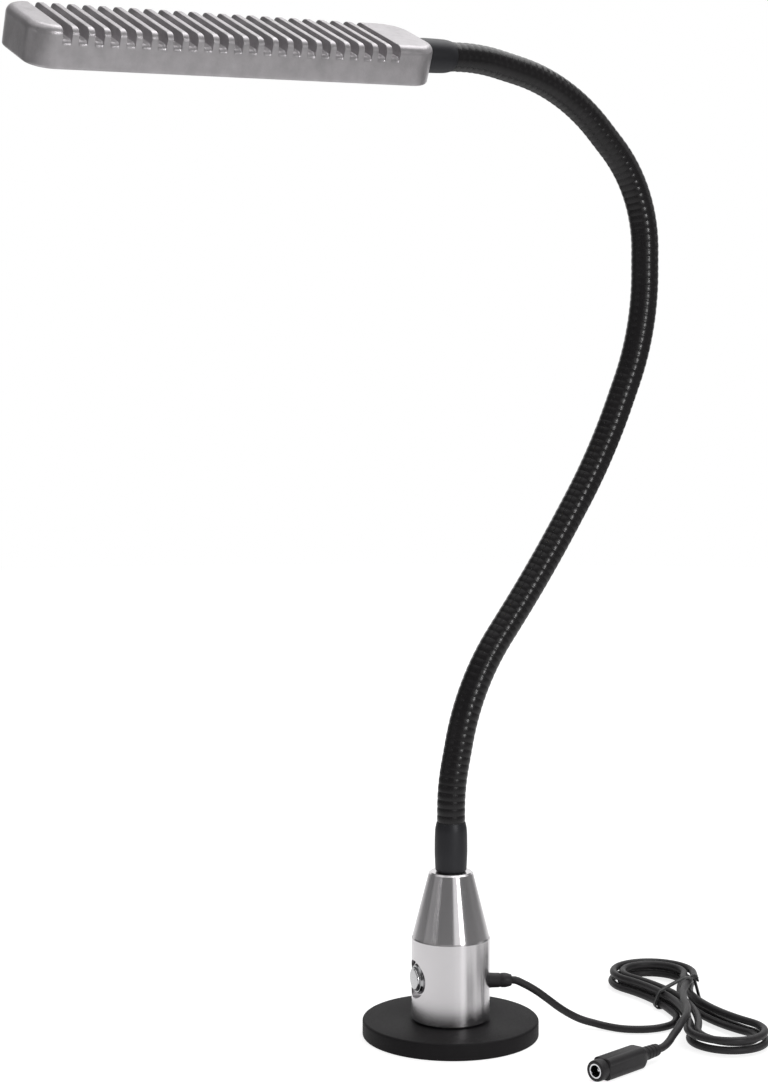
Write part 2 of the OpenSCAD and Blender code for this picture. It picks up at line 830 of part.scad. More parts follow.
// Ribbed sleeve over one link: a rib is a ring on the crest after a ring in the valley
module arm_sleeve(k) {
    low = k == 0 ? 0 : link_gap / 2;
    high = k == arm_joints ? link_l(k) : link_l(k) - link_gap / 2;
    ribs = round((high - low) / rib_pitch);
    inner = 8;
    outside = concat(
        [for (i = [0 : ribs - 1], f = [0, 0.5])
            [low + (high - low) * (i + f) / ribs, f == 0 ? valley_r : rib_r]],
        [[high, valley_r]]);
    inside = [for (i = [0 : inner]) [high - (high - low) * i / inner, sleeve_bore_d / 2]];
    rings = concat(outside, inside);
    points = [for (r = rings)
        let (at = on_link(k, r[0]), turn = link_turn(k, r[0]), across = [cos(turn), 0, sin(turn)])
        each [for (i = [0 : sleeve_sides - 1])
            let (a = 360 * i / sleeve_sides)
            at + r[1] * cos(a) * across + r[1] * sin(a) * [0, 1, 0]]];
    color("#1d1d1f")
        at_link(k)
            polyhedron(points, skin(len(rings), sleeve_sides, true));
}

module arm_lead(k) {
    low = k == 0 ? nipple_low_z - arm_z : lead_end;
    high = k == arm_joints ? ferrule_len - ferrule_seat + lead_drop_x : -lead_stop;
    inner = link_straight + weld;
    color("#8c2f2a")
        union() {
            at_link(k)
                translate([0, 0, low])
                    cylinder(d = lead_d, h = inner - low);
            link_arc(k)
                circle(lead_d / 2 - slip_gap);
            at_link_end(k)
                translate([0, 0, -inner])
                    cylinder(d = lead_d, h = inner + high);
        }
}

// Lamp head
module edge_profile(r) {
    union() {
        translate([0, -head_h / 2 + head_bottom_r])
            square([r, head_h - head_top_r - head_bottom_r]);
        translate([0, -head_h / 2])
            square([r - head_bottom_r, head_h / 2]);
        square([r - head_top_r, head_h / 2]);
        translate([r - head_top_r, head_h / 2 - head_top_r])
            circle(head_top_r);
        translate([r - head_bottom_r, -head_h / 2 + head_bottom_r])
            circle(head_bottom_r);
    }
}

module head_end(corner_r) {
    inner = head_w / 2 - corner_r;
    for (side = [-1, 1])
        translate([0, side * inner, 0])
            rotate([0, 0, side > 0 ? 0 : -90])
                rotate_extrude(angle = 90)
                    edge_profile(corner_r);
    translate([0, inner, 0])
        rotate([90, 0, 0])
            linear_extrude(2 * inner)
                edge_profile(corner_r);
}

module head_blank() {
    union() {
        translate([root_corner_r, 0, 0])
            mirror([1, 0, 0])
                head_end(root_corner_r);
        translate([head_l - tip_corner_r, 0, 0])
            head_end(tip_corner_r);
        for (side = [0, 1])
            mirror([0, side, 0])
                translate([head_l - tip_corner_r, 0, 0])
                    rotate([90, 0, -90])
                        linear_extrude(head_l - tip_corner_r - root_corner_r)
                            mirror([1, 0, 0])
                                edge_profile(head_w / 2);
    }
}

// Outline of the head seen from above, set in from its sides and tip, and from its root
module head_outline(in, root_in) {
    tip_r = max(tip_corner_r - in, 1);
    root_r = max(root_corner_r - in, 1);
    half = head_w / 2 - in;
    union() {
        translate([root_in + root_r, -half])
            square([head_l - in - root_in - root_r - tip_r, 2 * half]);
        translate([root_in, -half + root_r])
            square([root_r, 2 * (half - root_r)]);
        translate([head_l - in - tip_r, -half + tip_r])
            square([tip_r, 2 * (half - tip_r)]);
        for (side = [-1, 1]) {
            translate([root_in + root_r, side * (half - root_r)])
                circle(root_r);
            translate([head_l - in - tip_r, side * (half - tip_r)])
                circle(tip_r);
        }
    }
}

module screw_places() {
    for (x = screw_x, side = [-1, 1])
        translate([x, side * screw_y, 0])
            children();
}

module board_screw_places() {
    for (x = board_screw_x)
        translate([x, 0, 0])
            children();
}

module slot_profile() {
    union() {
        translate([-slot_w / 2, slot_floor_r])
            square([slot_w, slot_depth + 1]);
        translate([-slot_w / 2 + slot_floor_r, 0])
            square([slot_w - 2 * slot_floor_r, slot_floor_r + 1]);
        for (side = [-1, 1])
            translate([side * (slot_w / 2 - slot_floor_r), slot_floor_r])
                circle(slot_floor_r);
    }
}

module head_housing() {
    color("#bdbfc1")
        at_head()
            difference() {
                head_blank();
                for (i = [0 : slot_count - 1])
                    translate([root_block + i * slot_pitch, head_w, head_h / 2 - slot_depth])
                        rotate([90, 0, 0])
                            linear_extrude(2 * head_w)
                                slot_profile();
                translate([0, 0, -head_h])
                    linear_extrude(head_h + ledge_z)
                        head_outline(lens_rim - slip_gap, lens_root_in - slip_gap);
                translate([0, 0, -head_h / 2])
                    linear_extrude(hollow_depth)
                        head_outline(hollow_in, hollow_root_in);
                rotate([0, 90, 0])
                    translate([0, 0, -1])
                        cylinder(d = ferrule_d + 2 * slip_gap, h = ferrule_seat + 1);
                rotate([0, 90, 0])
                    cylinder(d = nipple_d + 2 * fit_gap, h = nipple_seat);
                rotate([0, 90, 0])
                    cylinder(r = lead_bore_r, h = lead_drop_x + slip_gap);
                translate([lead_drop_x, 0, hollow_z - 1])
                    cylinder(r = lead_bore_r, h = 1 - hollow_z);
                screw_places()
                    translate([0, 0, ledge_z - 1])
                        cylinder(d = screw_d + 2 * fit_gap, h = screw_l);
                board_screw_places()
                    translate([0, 0, hollow_z - 1])
                        cylinder(d = board_screw_d + 2 * fit_gap, h = board_screw_l + 1);
            }
}

module led_board() {
    color("#e9ecea")
        at_head()
            difference() {
                translate([0, 0, board_z])
                    linear_extrude(board_t)
                        head_outline(board_in, board_root_in);
                board_screw_places()
                    translate([0, 0, board_z - 1])
                        cylinder(d = board_screw_d + 2 * fit_gap, h = board_t + 2);
                translate([lead_drop_x, 0, board_z - 1])
                    cylinder(r = lead_bore_r, h = board_t + 2);
            }
}

module led_chips() {
    step = (chip_to_x - chip_from_x) / (chip_count - 1);
    color("#f2dc7a")
        at_head()
            for (i = [0 : chip_count - 1], side = [-1, 1])
                translate([chip_from_x + i * step, side * chip_row_y, board_z - chip_size.z / 2])
                    cube(chip_size, center = true);
}

module board_screws() {
    color("#9fa3a6")
        at_head()
            board_screw_places() {
                translate([0, 0, board_z - board_screw_head_h])
                    cylinder(d = 2 * board_screw_d, h = board_screw_head_h);
                translate([0, 0, board_z - weld])
                    cylinder(d = board_screw_d, h = weld + board_t + board_screw_l - slip_gap);
            }
}

module lens() {
    color("#eef3f4")
        at_head()
            difference() {
                translate([0, 0, lens_z])
                    linear_extrude(lens_t)
                        head_outline(lens_rim, lens_root_in);
                screw_places()
                    translate([0, 0, lens_z - 1])
                        cylinder(d = screw_d + 2 * slip_gap, h = lens_t + 2);
                screw_places()
                    translate([0, 0, lens_z - 1])
                        cylinder(d = screw_head_d + 2 * slip_gap, h = screw_head_h + 1);
            }
}

module lens_gasket() {
    color("#2a2a2c")
        at_head()
            translate([0, 0, gasket_z])
                difference() {
                    linear_extrude(gasket_t)
                        head_outline(lens_rim + slip_gap, lens_root_in + slip_gap);
                    translate([0, 0, -1])
                        linear_extrude(gasket_t + 2)
                            head_outline(hollow_in, hollow_root_in);
                    screw_places()
                        translate([0, 0, -1])
                            cylinder(d = screw_d + 2 * slip_gap, h = gasket_t + 2);
                }
}

module lens_screws() {
    color("#9fa3a6")
        at_head()
            screw_places()
                translate([0, 0, lens_z]) {
                    cylinder(d = screw_head_d, h = screw_head_h);
                    translate([0, 0, screw_head_h / 2])
                        cylinder(d = screw_d, h = screw_l);
                }
}

// Free cord
module cord_run() {
    color("#1c1c1e")
        swept_tube(run_route, cord_d / 2, cord_sides);
}

module cord_hank() {
    echo(least_gap_of_hank = hank_gap());
    color("#1c1c1e")
        swept_tube(hank_line, cord_d / 2, hank_sides);
}

module cord_tail() {
    color("#1c1c1e")
        swept_tube(tail_route, cord_d / 2, cord_sides);
}

// Tie round the hank's waist, drawn round the turns and the cord that crosses them
module hank_tie() {
    at_p = -12.5;
    hold_r = cord_d / 2 + 0.2;
    low = hank_waist + 1.4;
    upper_z = hank_z + hank_layer;
    bundle = [[-low, hank_z], [low - 2, hank_z], [-low + 2, upper_z], [low - 4.5, upper_z],
              [3.2, 13.6], [6.2, 13.3]];
    color("#161618")
        translate([hank_centre.x, hank_centre.y, 0])
            rotate([0, 0, hank_turn])
                translate([at_p + tie_w / 2, 0, 0])
                    rotate([90, 0, -90])
                        mirror([1, 0, 0])
                            linear_extrude(tie_w)
                                difference() {
                                    offset(r = tie_t, $fn = 32)
                                        tie_bundle(bundle, hold_r);
                                    tie_bundle(bundle, hold_r);
                                }
}

module tie_bundle(places, r) {
    hull()
        for (place = places)
            translate(place)
                circle(r, $fn = 32);
}

// Cord socket
module rounded_square(w, r) {
    half = w / 2;
    union() {
        square([w - 2 * r, w], center = true);
        square([w, w - 2 * r], center = true);
        for (x = [-1, 1], y = [-1, 1])
            translate([x * (half - r), y * (half - r)])
                circle(r);
    }
}

module jack_shell() {
    color("#1e1e20")
        at_jack()
            difference() {
                union() {
                    cylinder(d = jack_collar_d, h = jack_collar_l + weld);
                    translate([0, 0, jack_collar_l])
                        linear_extrude(jack_body_l)
                            rounded_square(jack_w, jack_edge_r);
                    translate([0, 0, jack_body_x])
                        cylinder(d1 = jack_w - 1, d2 = jack_relief_d + 1, h = jack_taper_l);
                    translate([0, 0, jack_taper_x - weld])
                        cylinder(d1 = jack_relief_d, d2 = jack_relief_d - 1.4, h = jack_relief_l + weld);
                }
                translate([0, 0, -1])
                    cylinder(d = jack_seat_d + 2 * fit_gap, h = jack_depth + 1);
                cylinder(d = jack_pin_root_d + 2 * fit_gap, h = jack_depth + jack_pin_seat);
            }
}

module jack_sleeve() {
    color("#cfd1d3")
        at_jack()
            difference() {
                union() {
                    cylinder(d = jack_seat_d, h = jack_depth);
                    translate([0, 0, -jack_lip])
                        cylinder(d = jack_seat_d + 2 * jack_lip, h = jack_lip);
                }
                translate([0, 0, -1])
                    cylinder(d = jack_bore_d, h = jack_depth + 2);
            }
}

module jack_pin() {
    tip_r = jack_pin_d / 2;
    wall_end = jack_depth - jack_pin_neck_l;
    color("#cfd1d3")
        at_jack()
            union() {
                translate([0, 0, jack_pin_in + tip_r])
                    sphere(tip_r);
                translate([0, 0, jack_pin_in + tip_r])
                    cylinder(r = tip_r, h = wall_end - jack_pin_in - tip_r);
                translate([0, 0, wall_end - weld])
                    cylinder(d = jack_pin_neck_d, h = jack_pin_neck_l + 2 * weld);
                translate([0, 0, jack_depth])
                    cylinder(d = jack_pin_root_d, h = jack_pin_seat);
            }
}

magnet_jacket();
magnet_plate();
magnet_discs();
foot_stud();
body_plug();
base_body();
switch_bezel();
switch_nut();
switch_carrier();
switch_contacts();
switch_spring();
switch_button();
base_wires();
cord_relief();
lower_ferrule();
lower_nipple();
lower_nut();
for (k = [0 : arm_joints]) {
    arm_core(k);
    arm_sleeve(k);
    arm_lead(k);
}
upper_ferrule();
upper_nipple();
head_housing();
led_board();
led_chips();
board_screws();
lens();
lens_gasket();
lens_screws();
cord_run();
cord_hank();
cord_tail();
hank_tie();
jack_shell();
jack_sleeve();
jack_pin();
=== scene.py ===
"""Looks of the machine work light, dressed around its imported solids."""

import math
from types import SimpleNamespace

import bpy
import numpy as np
from mathutils import Matrix, Vector


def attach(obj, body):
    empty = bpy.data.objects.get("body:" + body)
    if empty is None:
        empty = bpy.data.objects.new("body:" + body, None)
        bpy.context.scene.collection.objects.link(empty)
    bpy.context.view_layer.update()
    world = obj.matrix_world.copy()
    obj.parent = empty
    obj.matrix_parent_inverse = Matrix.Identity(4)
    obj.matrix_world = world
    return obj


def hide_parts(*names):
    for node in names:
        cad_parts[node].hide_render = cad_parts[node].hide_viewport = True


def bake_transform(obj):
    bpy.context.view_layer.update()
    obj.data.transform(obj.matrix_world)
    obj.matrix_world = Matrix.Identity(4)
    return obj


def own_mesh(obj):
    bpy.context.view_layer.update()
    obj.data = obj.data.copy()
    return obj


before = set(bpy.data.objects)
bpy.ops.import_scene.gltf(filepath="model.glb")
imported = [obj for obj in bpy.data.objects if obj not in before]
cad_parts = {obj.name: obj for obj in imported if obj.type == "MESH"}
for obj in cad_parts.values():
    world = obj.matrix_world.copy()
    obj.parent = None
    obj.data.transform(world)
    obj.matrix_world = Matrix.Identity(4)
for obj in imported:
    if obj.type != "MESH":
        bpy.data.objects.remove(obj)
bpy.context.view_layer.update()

bl_info = {
    "name": "Machine work light",
    "version": (1, 0, 0),
    "blender": (4, 5, 0),
    "location": "View3D > Sidebar > Work light",
    "description": "Dresses the solids of a gooseneck work light with surfaces and finishes",
    "category": "Object",
}

MM = 0.001


# Sizes and colours that a user would change


def length(name, words, value):
    """A length in millimetres, kept in metres."""
    return bpy.props.FloatProperty(
        name=name, description=words, default=value * MM, unit="LENGTH", precision=5
    )


def angle(name, words, value):
    """An angle in degrees, kept in radians."""
    return bpy.props.FloatProperty(
        name=name, description=words, default=math.radians(value), subtype="ANGLE"
    )


def colour(name, words, value):
    """A linear colour."""
    return bpy.props.FloatVectorProperty(
        name=name, description=words, default=value, subtype="COLOR", size=3, min=0, max=1
    )


def vector(name, words, value, subtype):
    """A place or a direction."""
    return bpy.props.FloatVectorProperty(
        name=name, description=words, default=value, subtype=subtype
    )


class HeadSettings(bpy.types.PropertyGroup):
    """Finned lamp head."""

    width: length("Width", "Width across the fins", 43.5)
    height: length("Height", "Height of the cast housing", 18.7)
    root_block: length("Root block", "From the gooseneck's end to the first slot", 25.5)
    tip_block: length("Tip block", "From the last slot to the free end", 15)
    slot_pitch: length("Slot pitch", "From slot to slot", 7.5)
    slot_depth: length("Slot depth", "Depth of a slot between fins", 5.75)
    slot_count: bpy.props.IntProperty(
        name="Slots", description="Number of cross slots", default=23
    )
    root_corner: length("Root corners", "Corner radius at the gooseneck's end", 13)
    tip_corner: length("Tip corners", "Corner radius at the free end", 11.5)
    top_edge: length("Top edge", "Rounding of the top edges", 4)
    roll: angle("Roll", "Turn of the head about its own length", 22.5)
    cast: colour("Cast metal", "Colour of the cast housing", (0.47, 0.451, 0.465))


class NeckSettings(bpy.types.PropertyGroup):
    """Gooseneck and its ferrules."""

    diameter: length("Diameter", "Diameter over the sleeve's ribs", 14)
    bore: length("Bore", "Inner diameter of the sleeve", 12)
    rib_pitch: length("Rib pitch", "From rib to rib", 3.7)
    rib_depth: length("Rib depth", "Depth of the grooves between ribs", 0.16)
    ferrule_length: length("Ferrule length", "Length of the smooth ferrules", 25)
    sleeve: colour("Sleeve", "Colour of the shrink sleeve", (0.0152, 0.014, 0.0149))
    ferrule: colour("Ferrule", "Colour of the ferrules", (0.0058, 0.005, 0.0056))


class BaseSettings(bpy.types.PropertyGroup):
    """Foot, body and switch."""

    foot_diameter: length("Foot diameter", "Diameter of the magnetic foot", 88)
    foot_height: length("Foot height", "Height of the magnetic foot", 8.5)
    switch_turn: angle("Switch direction", "Direction of the switch round the body", 168)
    switch_height: length("Switch height", "Height of the switch above the floor", 30)
    body: colour("Body metal", "Colour of the turned body", (0.72, 0.70, 0.715))
    jacket: colour("Foot rubber", "Colour of the foot's jacket", (0.0105, 0.0095, 0.0105))


class CordSettings(bpy.types.PropertyGroup):
    """Cord, hank and socket."""

    diameter: length("Diameter", "Diameter of the cord", 3.8)
    socket_turn: angle("Socket direction", "Direction from the socket's mouth to its rear", 13.6)
    jacket: colour("Cord jacket", "Colour of the cord's jacket", (0.0265, 0.025, 0.0265))


class StageSettings(bpy.types.PropertyGroup):
    """Floor, light and camera."""

    focal: bpy.props.FloatProperty(
        name="Lens", description="Focal length", default=76.52, unit="CAMERA"
    )
    camera: vector("Camera", "Place of the camera", (-0.618842, -0.938816, 0.346554), "XYZ")
    heading: vector(
        "Heading", "Where the camera looks", (0.523406, 0.847558, -0.0877), "DIRECTION"
    )
    floor: colour("Floor", "Colour of the pale floor", (0.80, 0.80, 0.80))


# Surfaces

WELD = 2e-7  # metres within which two points are one


def grid_faces(rows, columns, wrap_rows, wrap_columns):
    """Four-cornered faces of a grid of points, joined end to end in either direction."""
    i = np.arange(rows if wrap_rows else rows - 1)[:, None]
    j = np.arange(columns if wrap_columns else columns - 1)[None, :]
    i2, j2 = (i + 1) % rows, (j + 1) % columns
    corners = [i * columns + j, i2 * columns + j, i2 * columns + j2, i * columns + j2]
    return np.stack([c.ravel() for c in corners], axis=1)


def surface(points, wrap_rows=False, wrap_columns=True):
    """Points and faces of a surface given as a grid of places, rows by columns by 3, whose rows are
    rings unless said otherwise."""
    rows, columns = points.shape[:2]
    return points.reshape(-1, 3), grid_faces(rows, columns, wrap_rows, wrap_columns)


def joined(parts):
    """Several point and face pairs as one."""
    starts = np.cumsum([0] + [len(p) for p, _ in parts[:-1]])
    points = np.concatenate([p for p, _ in parts])
    return points, np.concatenate([f + s for (_, f), s in zip(parts, starts)])


def welded(points, faces):
    """Points that share a place become one, and faces that lose a corner become triangles."""
    cells = np.round(points / WELD)
    _, first, same = np.unique(cells, axis=0, return_index=True, return_inverse=True)
    faces = same.ravel()[faces]
    kept = faces != np.roll(faces, 1, axis=1)
    corners = kept.sum(1)
    crossed = (faces[:, 0] == faces[:, 2]) | (faces[:, 1] == faces[:, 3])
    thin = corners == 3
    order = np.argsort(~kept[thin], axis=1, kind="stable")[:, :3]
    triangles = np.take_along_axis(faces[thin], order, axis=1)
    return points[first], faces[(corners == 4) & ~crossed], triangles


def outward(points, quads, triangles):
    """Faces turned so that the closed shape's volume is positive."""
    a, b, c = np.concatenate([quads[:, [0, 1, 2]], quads[:, [0, 2, 3]], triangles]).T
    volume = np.einsum("ij,ij->i", points[a], np.cross(points[b], points[c])).sum()
    return (quads, triangles) if volume > 0 else (quads[:, ::-1], triangles[:, ::-1])


def piece(name, parts, look, body=None, stands_for=(), *, smooth):
    """A closed piece from surfaces, with its finish by name and the body that it rides on. Its
    edges are smooth up to an angle in degrees."""
    points, quads, triangles = welded(*joined(parts))
    quads, triangles = outward(points, quads, triangles)
    mesh = bpy.data.meshes.new(name)
    mesh.from_pydata(points.tolist(), [], quads.tolist() + triangles.tolist())
    mesh.validate()
    mesh.polygons.foreach_set("use_smooth", np.ones(len(mesh.polygons), bool))
    mesh.set_sharp_from_angle(angle=math.radians(smooth))
    made = bpy.data.objects.new(name, mesh)
    bpy.context.scene.collection.objects.link(made)
    mesh.materials.append(finishes()[look])
    if body:
        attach(made, body)
    if stands_for:
        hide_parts(*stands_for)
    return made


def round_turn(sides):
    """Even angles once round."""
    return np.linspace(0, 2 * np.pi, sides, endpoint=False)


def arc(centre, radius, start, end, count):
    """Points of an arc in the plane, angles in degrees."""
    a = np.radians(np.linspace(start, end, count))
    return np.stack([centre[0] + radius * np.cos(a), centre[1] + radius * np.sin(a)], axis=1)


def placed(points, matrix):
    """Points in millimetres of a local frame, set in the row frame in metres."""
    m = np.array(matrix)
    return points @ m[:3, :3].T * MM + m[:3, 3] * MM


def turned(outline, place, closed=True, sides=96):
    """The surface of an outline of radius and height carried round a frame's Z: a closed outline,
    or one that starts and ends on Z."""
    a = round_turn(sides)
    r, z = outline[:, 0, None], outline[:, 1, None]
    points = np.stack([r * np.cos(a), r * np.sin(a), z + 0 * a], axis=-1)
    return [surface(placed(points, place), closed)]


def unit(vectors):
    """Vectors brought to length 1."""
    return vectors / np.linalg.norm(vectors, axis=-1, keepdims=True)


def tube(path, radius, sides):
    """A round section carried along a path that is never upright, its ends closed to a point."""
    run = unit(np.gradient(path, axis=0))
    side = unit(np.cross(run, [0, 0, 1.0]))
    up = np.cross(side, run)
    a = round_turn(sides)[None, :, None]
    rings = path[:, None] + radius * (np.cos(a) * side[:, None] + np.sin(a) * up[:, None])
    ends = [np.repeat(path[k][None, None], sides, axis=1) for k in (0, -1)]
    return np.concatenate([ends[0], rings, ends[1]])


def distances(path):
    """Distances along a path to each of its points."""
    return np.concatenate([[0], np.cumsum(np.linalg.norm(np.diff(path, axis=0), axis=1))])


def smooth_line(points, start, end, count):
    """A curve through points: cubic stretches that leave each point in the direction of its
    neighbours, and the ends in the directions given."""
    t = distances(points)
    slope = np.gradient(points, t, axis=0)
    slope[0], slope[-1] = start, end
    slope = unit(slope)
    steps = np.linalg.norm(np.diff(points, axis=0), axis=1)
    s = np.linspace(0, t[-1], count)
    k = np.clip(np.searchsorted(t, s, side="right") - 1, 0, len(steps) - 1)
    h = steps[k][:, None]
    u = (s[:, None] - t[k][:, None]) / h
    return (
        (2 * u**3 - 3 * u**2 + 1) * points[k]
        + (u**3 - 2 * u**2 + u) * h * slope[k]
        + (3 * u**2 - 2 * u**3) * points[k + 1]
        + (u**3 - u**2) * h * slope[k + 1]
    )


def spaced(path, step):
    """A path's points at even steps along it."""
    s = distances(path)
    even = np.linspace(0, s[-1], max(2, int(round(s[-1] / step)) + 1))
    return np.stack([np.interp(even, s, path[:, k]) for k in range(3)], axis=1)


# Frames of the pieces, in millimetres

BODY_RADIUS = 19.5
RELIEF_TURN, RELIEF_HEIGHT, RELIEF_LENGTH = -30, 27.5, 11
SOCKET_MOUTH, SOCKET_LENGTH = (17.3, -97.5, 5.2), 46


def level_frame(turn, place):
    """A frame at a place, its Z level and turned about the row's Z."""
    level = Matrix.Rotation(turn, 4, "Z") @ Matrix.Rotation(math.radians(90), 4, "Y")
    return Matrix.Translation(place) @ level


def switch_frame():
    """Z out of the button, from the body's axis."""
    base = bpy.context.scene.work_light_base
    return level_frame(base.switch_turn, (0, 0, base.switch_height / MM))


def relief_frame():
    """Z out along the cord, from the body's axis."""
    return level_frame(math.radians(RELIEF_TURN), (0, 0, RELIEF_HEIGHT))


def socket_frame():
    """Z from the socket's mouth to its rear."""
    return level_frame(bpy.context.scene.work_light_cord.socket_turn, SOCKET_MOUTH)


# Line of the gooseneck: arcs with a short straight at both ends of each link

NECK_JOINTS = 7
LINKS = NECK_JOINTS + 1
NECK_START, NECK_LENGTH = 108.0, 480.0
NECK_STEPS = 24001
LINK_BENDS = np.array([-12, -26, 4.5, 10.5, 23.5, 45, 33, 12.5])
LINK_STRAIGHT = 6.0
FERRULE_SEAT = 5.9


def link_ends():
    """Distances along the neck where its links begin and end."""
    pitch = NECK_LENGTH / NECK_JOINTS
    return np.concatenate([[0], (np.arange(NECK_JOINTS) + 0.5) * pitch, [NECK_LENGTH]])


def neck_heading(s):
    """Heading above +X in degrees: steady in the straights, turning evenly in the arcs."""
    ends = link_ends()
    knots = np.stack([ends[:-1] + LINK_STRAIGHT, ends[1:] - LINK_STRAIGHT], axis=1).ravel()
    turns = 90 + np.concatenate([[0], np.repeat(np.cumsum(LINK_BENDS), 2)[:-1]])
    return np.interp(s, knots, turns)


def neck_line(s):
    """Places on the neck's line: the running sum of its heading, found on fine steps."""
    fine = np.linspace(0, NECK_LENGTH, NECK_STEPS)
    h = np.radians(neck_heading((fine[1:] + fine[:-1]) / 2))
    step = fine[1] - fine[0]
    x = np.concatenate([[0], np.cumsum(np.cos(h)) * step])
    z = NECK_START + np.concatenate([[0], np.cumsum(np.sin(h)) * step])
    return np.stack([np.interp(s, fine, x), 0 * s, np.interp(s, fine, z)], axis=-1)


def neck_end_frame():
    """Z onward at the neck's end, X up across it."""
    h = math.radians(float(neck_heading(NECK_LENGTH)))
    place = neck_line(np.array([NECK_LENGTH]))[0]
    across, onward = (math.sin(h), 0, -math.cos(h)), (math.cos(h), 0, math.sin(h))
    made = Matrix.Identity(4)
    for k, v in enumerate((across, (0, 1, 0), onward, place)):
        made.col[k][:3] = v
    return made


def head_frame():
    """X from the neck to the free end, Z up through the fins."""
    head, neck = bpy.context.scene.work_light_head, bpy.context.scene.work_light_neck
    onward = Matrix.Translation((0, 0, neck.ferrule_length / MM - FERRULE_SEAT))
    swap = Matrix(((0, 0, 1, 0), (0, -1, 0, 0), (1, 0, 0, 0), (0, 0, 0, 1)))
    return neck_end_frame() @ onward @ Matrix.Rotation(-head.roll, 4, "Z") @ swap


# Finishes

EVEN, RINGS = (1, 1, 1), (1, 1, 60)  # stretch of a fine grain: none, or drawn out into lathe rings


def add(tree, kind, inputs=None, **settings):
    """A shader node with its settings, and its inputs linked to an output or set to a value."""
    made = tree.nodes.new("ShaderNode" + kind)
    for name, value in settings.items():
        setattr(made, name, value)
    for at, value in (inputs or {}).items():
        if isinstance(value, bpy.types.NodeSocket):
            tree.links.new(value, made.inputs[at])
        else:
            made.inputs[at].default_value = value
    return made


def maths(tree, operation, *values, **settings):
    """The result of a sum with outputs and numbers."""
    return add(tree, "Math", dict(enumerate(values)), operation=operation, **settings).outputs[0]


def grain_group():
    """Mask from noise on object coordinates: even grey at contrast 0, hard specks at a high one."""
    known = bpy.data.node_groups.get("surface_grain")
    if known:
        return known
    tree = bpy.data.node_groups.new("surface_grain", "ShaderNodeTree")
    for name, kind, default in (
        ("Scale", "NodeSocketFloat", 400.0),
        ("Stretch", "NodeSocketVector", EVEN),
        ("Contrast", "NodeSocketFloat", 1.0),
    ):
        made = tree.interface.new_socket(name=name, in_out="INPUT", socket_type=kind)
        made.default_value = default
    tree.interface.new_socket(name="Mask", in_out="OUTPUT", socket_type="NodeSocketFloat")
    given = tree.nodes.new("NodeGroupInput").outputs
    place = add(tree, "TexCoord").outputs["Object"]
    drawn = add(tree, "VectorMath", {0: place, 1: given["Stretch"]}, operation="MULTIPLY")
    inputs = {"Vector": drawn.outputs[0], "Scale": given["Scale"], "Detail": 5, "Roughness": 0.6}
    noise = add(tree, "TexNoise", inputs).outputs["Fac"]
    centred = maths(tree, "SUBTRACT", noise, 0.5)
    mask = maths(tree, "MULTIPLY_ADD", centred, given["Contrast"], 0.5, use_clamp=True)
    tree.links.new(mask, tree.nodes.new("NodeGroupOutput").inputs["Mask"])
    return tree


GRAIN_CONTRAST = 2.0


def grain(tree, scale, stretch=EVEN):
    """A grain group placed in a material, as its mask."""
    values = {"Scale": scale, "Stretch": stretch, "Contrast": GRAIN_CONTRAST}
    return add(tree, "Group", values, node_tree=grain_group()).outputs["Mask"]


def shade(tone, factor):
    """A colour made lighter or darker."""
    return (*[min(1.0, c * factor) for c in tone], 1.0)


def finish(
    name, tone, rough, metallic, broad, fine,
    bump=0.0, specular=0.5, stretch=EVEN, anisotropic=0.0, glass=False,
):
    """A surface whose colour drifts by a share with a broad grain of a scale, and whose roughness
    drifts by a spread with a fine one, which also gives the relief, in millimetres."""
    known = bpy.data.materials.get(name)
    if known:
        return known
    made = bpy.data.materials.new(name)
    made.use_nodes = True
    tree = made.node_tree
    shader = tree.nodes["Principled BSDF"].inputs
    shader["Metallic"].default_value = metallic
    shader["Specular IOR Level"].default_value = specular
    scale, share = broad
    tones = {0: grain(tree, scale), 6: shade(tone, 1 - share), 7: shade(tone, 1 + share)}
    mix = add(tree, "Mix", tones, data_type="RGBA")
    tree.links.new(mix.outputs[2], shader["Base Color"])
    scale, spread = fine
    specks = grain(tree, scale, stretch)
    least, most = max(0.02, rough - spread), min(1.0, rough + spread)
    span = add(tree, "MapRange", {"Value": specks, "To Min": least, "To Max": most})
    tree.links.new(span.outputs["Result"], shader["Roughness"])
    if bump:
        relief = add(tree, "Bump", {"Height": specks, "Strength": 1.0, "Distance": bump * MM})
        tree.links.new(relief.outputs["Normal"], shader["Normal"])
    if anisotropic:
        shader["Anisotropic"].default_value = anisotropic
        shader["Anisotropic Rotation"].default_value = 0.25
        tangent = add(tree, "Tangent", direction_type="RADIAL", axis="Z")
        tree.links.new(tangent.outputs["Tangent"], shader["Tangent"])
    if glass:
        shader["Transmission Weight"].default_value = 1.0
        shader["IOR"].default_value = 1.5
    return made


